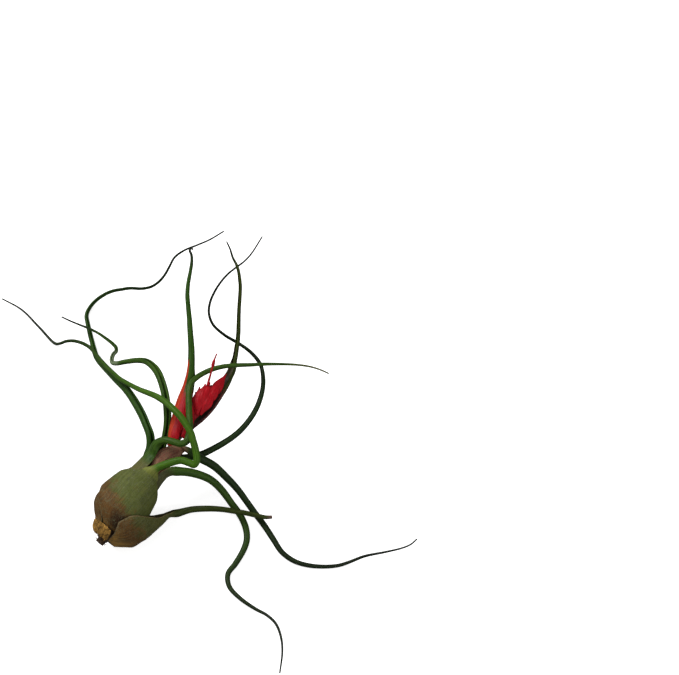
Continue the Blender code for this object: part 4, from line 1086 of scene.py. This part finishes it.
def add_blade(loft, leaf, row, settings, seed):
    """Rings of the rolled blade, from the last row of the sheath to the tip.
    Its zone is rust, blade and tip, its rim is margin, stub and pale stretch."""
    along, heading, half, reach, arc, wall = row
    normal = round_the_bulb(heading)
    way = [on_axis(along) + normal * (reach - wall / 2)] + [from_drawing(*p) for p in leaf["route"]]
    places = strides(spline(way), settings.blade_gap / MM, settings.blade_turn)
    length = places[-1][0]
    roll = leaf.get("roll", ROLL_LENGTH)
    dark = leaf["colours"][3]
    pale = leaf.get("pale", (NEVER, NEVER))
    half = math.radians(half)
    before = AXIS
    for gone, point, tangent in places[1:]:
        turned = unit(mix(AXIS, tangent, rise(gone, 0.0, AXIS_BLEND)))
        normal = turned_along(normal, before, turned)
        before = turned
        share = rise(gone, 0.0, roll)
        radius = table(leaf["radii"], gone / length)
        bent = 1 / mix(1 / arc, 1 / radius, share)
        reach = mix(arc * half, radius * ROLL_HALF, share)
        thickness = mix(wall, ROLL_WALL_SHARE * radius, share)
        shift = mix(bent - thickness / 2, 0.0, share)
        angle = min(ROLL_HALF, reach / bent)
        thin = mix(SHEATH_MARGIN, BLADE_MARGIN, share)
        power = mix(SHEATH_POWER, BLADE_POWER, share)
        ring = section(point, turned, normal, bent, (angle, angle), thickness, shift, thin, power)
        points, across, inside, out = halve(ring, (gone > roll) + (radius < THIN_BLADE))
        swell = BLADE_SWELL * radius * (1 - gone / length)
        points = points + out * (swell * rough(points, BLADE_LUMP, seed))[:, None]
        points[:, 2] = np.maximum(points[:, 2], 0.0)
        bladed = np.maximum(greenness(leaf, along), rise(gone, 0.0, 0.7 * roll))
        tip = rise(gone / length, dark, dark + max(0.06, 0.9 * (1 - dark)))
        stub = leaf.get("stub", 0.0) * rise(gone, *STUB_RISE) * rise(gone, *STUB_END)
        light = rise(gone / length, pale[0], pale[0] + 0.02) * rise(gone / length, pale[1], pale[1] - 0.03)
        loft.add(
            points,
            (across * reach, along + gone, inside),
            (rustiness(points) * (1 - bladed), bladed, tip),
            (near_margin(across), stub, light),
        )


def make_leaf(name, leaf, settings, seed):
    rows = finer_rows(leaf["sheath"], settings.sheath_gap / MM)
    loft = Loft()
    add_sheath(loft, leaf, rows, settings, seed)
    add_blade(loft, leaf, rows[-1], settings, seed)
    cover = 0.9 if leaf["colours"][0] != "pink" else 0.6
    return loft.piece(name + "_skin", leaf_finish(name + "_finish", leaf["colours"], cover))


def make_bract(name, bract):
    """A leafy bract along its drawn route. Its zone is the side strip, the green blade and the tip."""
    loft = Loft()
    places = strides(spline([from_drawing(*p) for p in bract["route"]]), 0.8, math.radians(6))
    length = places[-1][0]
    start, end = bract["strip"]
    before = places[0][2]
    normal = unit(bract["outward"] - before * np.dot(bract["outward"], before))
    for gone, point, tangent in places:
        share = gone / length
        normal = turned_along(normal, before, tangent)
        before = tangent
        arc, width, wall, centred = (table(bract["shape"], share, column) for column in (1, 2, 3, 4))
        half = min(ROLL_HALF, width / arc)
        shift = (arc - wall / 2) * (1 - centred)
        thin = mix(BRACT_MARGIN, BLADE_MARGIN, centred)
        ring = section(point, tangent, normal, arc, (half, half), wall, shift, thin, BRACT_POWER)
        points, across, inside, out = halve(ring, int(centred >= 1.0))
        points = points + out * (BRACT_SWELL * rough(points, BRACT_LUMP, 4.0))[:, None]
        turned = math.copysign(1.0, start) * across * math.degrees(half)
        strip = rise(turned, abs(start), abs(start) + 10.0) * rise(share, end, end - 0.06)
        blade = rise(share, *bract["blade"]) * (1 - strip)
        loft.add(
            points,
            (across * width, gone, inside),
            (strip, blade, rise(share, *BRACT_TIP)),
            (near_margin(across), 0.0, 0.0),
        )
    return loft.piece(name + "_skin", bract_finish(name + "_finish", bract["colours"]))


def ring_about(centre, tangent, normal, radius, count):
    angles = 2 * np.pi * np.arange(count) / count
    out = np.cos(angles)[:, None] * normal + np.sin(angles)[:, None] * np.cross(tangent, normal)
    return centre + out * radius


def make_stem(count=40):
    """Root stub, the short stem inside the bulb and the flower stalk, in one piece with furrowed bark."""
    rings = []
    for along, radius, aside in spline(STEM_ROWS, 6):
        centre = on_axis(along) + SIDE * aside
        ring = ring_about(centre, AXIS, FACE, radius, count)
        furrows = FURROW_DEPTH * rough(ring, 0.9, 2.0) * (along < 6.0)
        rings.append(ring + (ring - centre) / radius * furrows[:, None])
    way = [on_axis(STEM_ROWS[-1][0]), on_axis(54.0)] + [from_drawing(*p) for p in STALK_ROUTE]
    before, normal = AXIS, FACE
    for _, point, tangent in strides(spline(way), 1.0, math.radians(8))[1:]:
        normal = turned_along(normal, before, tangent)
        before = tangent
        rings.append(ring_about(point, tangent, normal, STALK_RADIUS, count))
    return mesh_piece("stem_skin", rings, dry_finish("bark_finish", "bark", 0.3 * MM))


def make_dry_scale(seed=11.0):
    """Ragged, crumpled paper round the foot."""
    rings = []
    rows = finer_rows(DRY_SCALE_ROWS, 0.3)
    first, last = rows[0][0], rows[-1][0]
    for along, heading, half, reach, arc, wall in rows:
        normal = round_the_bulb(heading)
        half = math.radians(half)
        centre = on_axis(along) + normal * (reach - arc)
        ring = section(centre, AXIS, normal, arc, (half, half), wall, 0.0, PAPER_MARGIN, BRACT_POWER)
        points, across, _, out = ring
        share = (along - first) / (last - first)
        torn = np.array([noise.noise(Vector((a * 7.0, seed, 0.0))) for a in across])
        crumple = 0.3 * rough(points, 1.5, seed) + 0.2 * np.cos(across * 9 + share * 2) - 0.2
        ragged = (0.9 * share ** 2 + 1.1 * (1 - share) ** 2) * torn
        rings.append(points + AXIS * ragged[:, None] + out * crumple[:, None])
    return mesh_piece("dry_scale_skin", rings, dry_finish("paper_finish", "foot", 0.25 * MM))


# Repeats by geometry nodes

def grown(name, source, tree, values):
    """The mesh that a node tree makes from a source object, as a piece of its own.
    The source, and the shape that it repeats, are removed."""
    modifier = source.modifiers.new(name, "NODES")
    modifier.node_group = tree
    keys = {item.name: item.identifier for item in tree.interface.items_tree if item.in_out == "INPUT"}
    for label, value in values.items():
        modifier[keys[label]] = value
    bpy.context.view_layer.update()
    graph = bpy.context.evaluated_depsgraph_get()
    mesh = bpy.data.meshes.new_from_object(source.evaluated_get(graph))
    mesh.name = name
    for used in (source, values.get("Shape")):
        if used is not None:
            bpy.data.objects.remove(used)
    return link(name, mesh)


def new_tree(name, inputs):
    """A geometry tree whose first inputs are the geometry and the finish."""
    sockets = (("Geometry", "Geometry"), ("Finish", "Material"), *inputs)
    return new_group(name, "GeometryNodeTree", sockets, (("Geometry", "Geometry"),))


def close_tree(graph, instances, finish, result):
    real = graph.add("GeometryNodeRealizeInstances", {"Geometry": instances}).outputs[0]
    smooth_faces = graph.add("GeometryNodeSetShadeSmooth", {"Geometry": real}).outputs[0]
    done = graph.add("GeometryNodeSetMaterial", {"Geometry": smooth_faces, "Material": finish}).outputs[0]
    graph.feed(result["Geometry"], done)


def place_copies(graph, given, result, points, rotation, scale):
    """Closes a tree with copies of its shape on the points."""
    shape = graph.add("GeometryNodeObjectInfo", {"Object": given["Shape"]}).outputs["Geometry"]
    places = {"Points": points, "Instance": shape, "Rotation": rotation, "Scale": scale}
    copies = graph.add("GeometryNodeInstanceOnPoints", places).outputs[0]
    close_tree(graph, copies, given["Finish"], result)


def stored(graph, name, kind="FLOAT"):
    """A value that the points of the source carry."""
    return graph.add("GeometryNodeInputNamedAttribute", {"Name": name}, data_type=kind).outputs["Attribute"]


def euler(graph, angles):
    return graph.add("FunctionNodeEulerToRotation", {"Euler": angles}).outputs[0]


def scatter_tree():
    """Scales scattered on the faces, thickest where the surface's share is high, each turned at random."""
    tree, graph, given, result = new_tree("Scatter Scales", (
        ("Shape", "Object"), ("Density", "Float", 1.0e6), ("Smallest", "Float", 0.4),
        ("Largest", "Float", 1.0), ("Seed", "Int", 0),
    ))
    density = graph.times(given["Density"], stored(graph, "share"))
    places = {"Mesh": given["Geometry"], "Density": density, "Seed": given["Seed"]}
    spots = graph.add("GeometryNodeDistributePointsOnFaces", places).outputs
    places = {"Max_001": 2 * math.pi, "Seed": given["Seed"]}
    spin = graph.add("FunctionNodeRandomValue", places).outputs[1]
    spin = euler(graph, graph.add("ShaderNodeCombineXYZ", {"Z": spin}).outputs[0])
    places = {"Rotation": spots["Rotation"], "Rotate By": spin}
    turn = graph.add("FunctionNodeRotateRotation", places, rotation_space="LOCAL").outputs[0]
    places = {"Min_001": given["Smallest"], "Max_001": given["Largest"], "Seed": given["Seed"]}
    size = graph.add("FunctionNodeRandomValue", places).outputs[1]
    place_copies(graph, given, result, spots["Points"], turn, size)
    return tree


def place_tree():
    """One copy of a shape on each point, turned and stretched as the points say."""
    tree, graph, given, result = new_tree("Place Shapes", (("Shape", "Object"),))
    turn = euler(graph, stored(graph, "turn", "FLOAT_VECTOR"))
    place_copies(graph, given, result, given["Geometry"], turn, stored(graph, "size", "FLOAT_VECTOR"))
    return tree


def tube_tree():
    """A round tube along an edge path, as thick as the path's points say, with closed ends."""
    tree, graph, given, result = new_tree("Tube Along Path", (("Sides", "Int", 16),))
    path = graph.add("GeometryNodeMeshToCurve", {"Mesh": given["Geometry"]}).outputs[0]
    places = {"Resolution": given["Sides"], "Radius": 1.0}
    ring = graph.add("GeometryNodeCurvePrimitiveCircle", places).outputs[0]
    places = {"Curve": path, "Profile Curve": ring, "Scale": stored(graph, "thickness"), "Fill Caps": True}
    tube = graph.add("GeometryNodeCurveToMesh", places).outputs[0]
    close_tree(graph, tube, given["Finish"], result)
    return tree


def bare_object(name, points, faces=(), edges=(), numbers=None, vectors=None):
    """A helper object that feeds a node tree, with float and vector values on its points."""
    mesh = bpy.data.meshes.new(name)
    mesh.from_pydata([tuple(p) for p in points], list(edges), list(faces))
    for label, values in (numbers or {}).items():
        mesh.attributes.new(label, "FLOAT", "POINT").data.foreach_set("value", np.asarray(values, np.float32))
    for label, values in (vectors or {}).items():
        write_attribute(mesh, label, values)
    return link(name, mesh)


def scale_shape(width):
    """A five-sided scale, a little raised in its middle."""
    rim = [(width / 2 * math.cos(a), width / 2 * math.sin(a), 0.0) for a in np.arange(5) * 2 * math.pi / 5]
    faces = [(i, (i + 1) % 5, 5) for i in range(5)]
    return bare_object("scale_shape", rim + [(0.0, 0.0, 0.22 * width)], faces)


def thread_shape(length, width):
    """A bent, tapering thread along its own X."""
    rings = []
    for share in np.linspace(0.0, 1.0, 7):
        centre = np.array([share * length, 0.0, 0.22 * length * share ** 2])
        radius = width / 2 * (1 - 0.85 * share)
        rings.append(ring_about(centre, RIGHTWARDS, np.array([0.0, 0.0, 1.0]), radius, 5))
    return bare_object("thread_shape", np.vstack(rings), skin(rings))


def petal_shape(seed=2.0):
    """A pointed, keeled bract of length 1 along X and half width 1 along Y, with its back up Z."""
    upper, lower = np.linspace(-1, 1, 15), np.linspace(1, -1, 11)
    sides = [(side, 0.0) for side in upper] + [(side, 0.17 * (1 - 0.6 * abs(side))) for side in lower]
    rings = []
    for share in np.linspace(0.0, 1.0, 34):
        width = mix(0.22, 1.0, rise(share, 0.0, 0.45)) * (1 - rise(share, 0.5, 1.0) * 0.88)
        arch = 0.95 * math.sin(math.pi * min(1.0, share * 0.9)) * 0.55
        ring = []
        for side, depth in sides:
            keel = 0.38 * (1 - abs(side) ** 1.3) * width + 0.06 * math.cos(side * 14) * width
            wave = 0.03 * noise.noise(Vector((share * 6, side * 2, seed)))
            ring.append((share, side * width, arch + keel - depth + wave))
        rings.append(np.array(ring))
    return bare_object("petal_shape", np.vstack(rings), skin(rings))


# Light

def add_light(name, way, power, size):
    """A square light that stands this way from the plant's middle and shines at it."""
    light = bpy.data.lights.new(name, "AREA")
    light.energy = power
    light.size = size
    lamp = link(name, light)
    lamp.location = PLANT_MIDDLE + way
    lamp.rotation_euler = Vector(-way).to_track_quat("-Z", "Y").to_euler()


def make_sky(strength):
    """Pale surroundings: pure white to the camera, and this strong for the light that they give."""
    world = bpy.data.worlds.new("studio")
    world.use_nodes = True
    graph = Graph(world.node_tree)
    sky = world.node_tree.nodes["Background"].inputs
    seen = graph.add("ShaderNodeLightPath").outputs["Is Camera Ray"]
    sky["Color"].default_value = (1.0, 1.0, 1.0, 1.0)
    graph.feed(sky["Strength"], graph.line(seen, 1.0 - strength, strength))
    return world


# Operators

class AirPlantStep:
    """What the steps share."""
    bl_options = {"REGISTER", "UNDO"}


class AIRPLANT_OT_leaves(AirPlantStep, bpy.types.Operator):
    """Makes the eight leaves: a spoon-like sheath on the bulb and a long rolled blade each"""
    bl_idname = "airplant.leaves"
    bl_label = "Leaves"

    def execute(self, context):
        settings = context.scene.airplant_leaf
        slots = {part["node"]: part["material_slot"] for part in frame["record"]["subparts"]}
        for number, (name, leaf) in enumerate(LEAVES.items()):
            seat(make_leaf(name, leaf, settings, float(number)), slots[name], name)
        return {"FINISHED"}


class AIRPLANT_OT_scurf(AirPlantStep, bpy.types.Operator):
    """Scatters silvery scales over the outsides of the sheaths"""
    bl_idname = "airplant.scurf"
    bl_label = "Scurf"

    def execute(self, context):
        settings = context.scene.airplant_scurf
        points, faces, shares = [], [], []
        for name in LEAVES:
            mesh = bpy.data.objects[name + "_skin"].data
            bladed, inside = read_mark(mesh, "zone", 1), read_mark(mesh, "way", 2)
            for face in mesh.polygons:
                corners = list(face.vertices)
                low = min(mesh.vertices[i].co.z for i in corners)
                if bladed[corners].max() > 0.5 or inside[corners].max() > 0.4 or low < SCURF_CLEARANCE:
                    continue
                faces.append([len(points) + i for i in range(len(corners))])
                points += [mesh.vertices[i].co for i in corners]
                shares += [1.0 - bladed[i] for i in corners]
        drifts = 0.5 + 0.9 * rough(np.array(points) / MM, 4.5, 5.0)
        share = np.clip(drifts, 0.12, 1.0) * np.array(shares)
        surface = bare_object("sheath_faces", points, faces, numbers={"share": share})
        values = {
            "Shape": scale_shape(settings.size),
            "Finish": scale_finish("scale_finish", settings.colour),
            "Density": settings.density,
            "Smallest": 0.45,
            "Largest": 1.0,
            "Seed": settings.seed,
        }
        seat(grown("scurf", surface, scatter_tree(), values), "olive_leaf")
        return {"FINISHED"}


class AIRPLANT_OT_foot(AirPlantStep, bpy.types.Operator):
    """Makes the stem with its root stub and stalk, the papery scale and the dry fibres"""
    bl_idname = "airplant.foot"
    bl_label = "Stem and Foot"

    def execute(self, context):
        settings = context.scene.airplant_foot
        seat(make_stem(), "bark", "stem")
        seat(make_dry_scale(), "straw", "dry_scale")
        rng = np.random.default_rng(settings.seed)
        points, turns, sizes = [], [], []
        for _ in range(settings.fibres):
            along = rng.uniform(-1.6, 1.2)
            out = round_the_bulb(rng.uniform(-180, 180))
            radius = 1.9 + 0.9 * max(0.0, along + 0.6)
            way = unit(out + AXIS * rng.uniform(-0.9, 0.7) + SIDE * rng.uniform(-0.5, 0.5))
            points.append((on_axis(along) + SIDE * 0.6 + out * radius) * MM)
            turns.append(Vector(way).to_track_quat("X", "Z").to_euler())
            size = rng.uniform(0.35, 1.0)
            sizes.append((size, 1.0, size))
        spots = bare_object("fibre_spots", points, vectors={"turn": turns, "size": sizes})
        values = {
            "Shape": thread_shape(settings.fibre_length, settings.fibre_width),
            "Finish": dry_finish("fibre_finish", "rust", 0.1 * MM),
        }
        seat(grown("foot_fibres", spots, place_tree(), values), "straw")
        return {"FINISHED"}


class AIRPLANT_OT_bracts(AirPlantStep, bpy.types.Operator):
    """Makes the leafy bracts of the flower stalk"""
    bl_idname = "airplant.bracts"
    bl_label = "Bracts"

    def execute(self, context):
        for name, bract in BRACTS.items():
            seat(make_bract(name, bract), bract["slot"], name)
        return {"FINISHED"}


class AIRPLANT_OT_spike(AirPlantStep, bpy.types.Operator):
    """Makes the flattened flower spike: pointed bracts in overlapping rows on a core"""
    bl_idname = "airplant.spike"
    bl_label = "Flower Spike"

    def execute(self, context):
        points, turns, sizes = [], [], []
        for foot, tip, half_width, faces_viewer in SPIKE_BRACTS:
            low, high = from_drawing(*foot), from_drawing(*tip)
            along = unit(high - low)
            back = unit((TO_VIEWER - along * np.dot(TO_VIEWER, along)) * faces_viewer)
            turn = np.column_stack([along, np.cross(back, along), back])
            points.append(low * MM)
            turns.append(Matrix(turn.tolist()).to_euler())
            sizes.append(np.array([np.linalg.norm(high - low), half_width, SPIKE_BRACT_DEPTH]) * MM)
        spots = bare_object("bract_spots", points, vectors={"turn": turns, "size": sizes})
        values = {"Shape": petal_shape(), "Finish": bract_finish("spike_finish", FLOWER_TINTS)}
        seat(grown("flower_spike_skin", spots, place_tree(), values), "crimson_bract", "flower_spike")
        return {"FINISHED"}


class AIRPLANT_OT_flower(AirPlantStep, bpy.types.Operator):
    """Makes the slender style of the open flower with its swollen stigma"""
    bl_idname = "airplant.flower"
    bl_label = "Flower"

    def execute(self, context):
        dense = spline([from_drawing(*p) for p in STYLE_ROUTE], 14)
        gone = distances(dense)
        radii = [table(STYLE_RADII, g / gone[-1]) * MM for g in gone]
        edges = [(i, i + 1) for i in range(len(dense) - 1)]
        path = bare_object("style_path", dense * MM, edges=edges, numbers={"thickness": radii})
        values = {"Finish": bract_finish("style_finish", FLOWER_TINTS), "Sides": 16}
        seat(grown("flower_skin", path, tube_tree(), values), "crimson_bract", "flower")
        return {"FINISHED"}


class AIRPLANT_OT_stage(AirPlantStep, bpy.types.Operator):
    """Makes the pale table, the soft studio light and the camera"""
    bl_idname = "airplant.stage"
    bl_label = "Stage"

    def execute(self, context):
        settings = context.scene.airplant_stage
        half = settings.table_side / 2
        corners = [(x * half, y * half, -TABLE_DROP) for x, y in ((-1, -1), (1, -1), (1, 1), (-1, 1))]
        table_top = bare_object("table_top", corners, [(0, 1, 2, 3)])
        table_top.data.materials.append(table_finish(settings.table_colour))
        add_light("key_light", KEY_PLACE, settings.key_power, KEY_SIZE)
        add_light("fill_light", FILL_PLACE, settings.fill_power, FILL_SIZE)
        context.scene.world = make_sky(settings.sky)
        context.scene.view_settings.view_transform = "Standard"
        camera = link("camera", bpy.data.cameras.new("camera"))
        camera.data.sensor_width = settings.sensor
        camera.data.lens = settings.sensor * VIEW_DISTANCE / (2 * DRAWING_CENTRE[0] * STEP)
        camera.location = np.array([-SPOT[0], -SPOT[1], 0.0]) + TO_VIEWER * VIEW_DISTANCE
        camera.rotation_euler = Vector(-TO_VIEWER).to_track_quat("-Z", "Y").to_euler()
        context.scene.camera = camera
        return {"FINISHED"}


class AIRPLANT_PT_panel(bpy.types.Panel):
    """Lists the steps and their settings"""
    bl_idname = "AIRPLANT_PT_panel"
    bl_label = "Air Plant"
    bl_space_type = "VIEW_3D"
    bl_region_type = "UI"
    bl_category = "Air Plant"

    def draw(self, context):
        for step, group in STEPS:
            self.layout.operator(step)
            if group is None:
                continue
            settings = getattr(context.scene, group)
            for label in type(settings).__annotations__:
                self.layout.prop(settings, label)


# The operators in their order, each with the scene's settings that it reads.
STEPS = (
    ("airplant.stage", "airplant_stage"),
    ("airplant.leaves", "airplant_leaf"),
    ("airplant.scurf", "airplant_scurf"),
    ("airplant.foot", "airplant_foot"),
    ("airplant.bracts", None),
    ("airplant.spike", None),
    ("airplant.flower", None),
)
SETTINGS = {
    "airplant_stage": AirPlantStageSettings,
    "airplant_leaf": AirPlantLeafSettings,
    "airplant_scurf": AirPlantScurfSettings,
    "airplant_foot": AirPlantFootSettings,
}
CLASSES = (
    *SETTINGS.values(), AIRPLANT_OT_stage, AIRPLANT_OT_leaves, AIRPLANT_OT_scurf, AIRPLANT_OT_foot,
    AIRPLANT_OT_bracts, AIRPLANT_OT_spike, AIRPLANT_OT_flower, AIRPLANT_PT_panel,
)


def register():
    for made in CLASSES:
        bpy.utils.register_class(made)
    for name, group in SETTINGS.items():
        setattr(bpy.types.Scene, name, PointerProperty(type=group))


def unregister():
    for name in SETTINGS:
        delattr(bpy.types.Scene, name)
    for made in reversed(CLASSES):
        bpy.utils.unregister_class(made)


def main():
    register()
    for step, _ in STEPS:
        family, name = step.split(".")
        getattr(getattr(bpy.ops, family), name)()


if __name__ == "__main__":
    main()
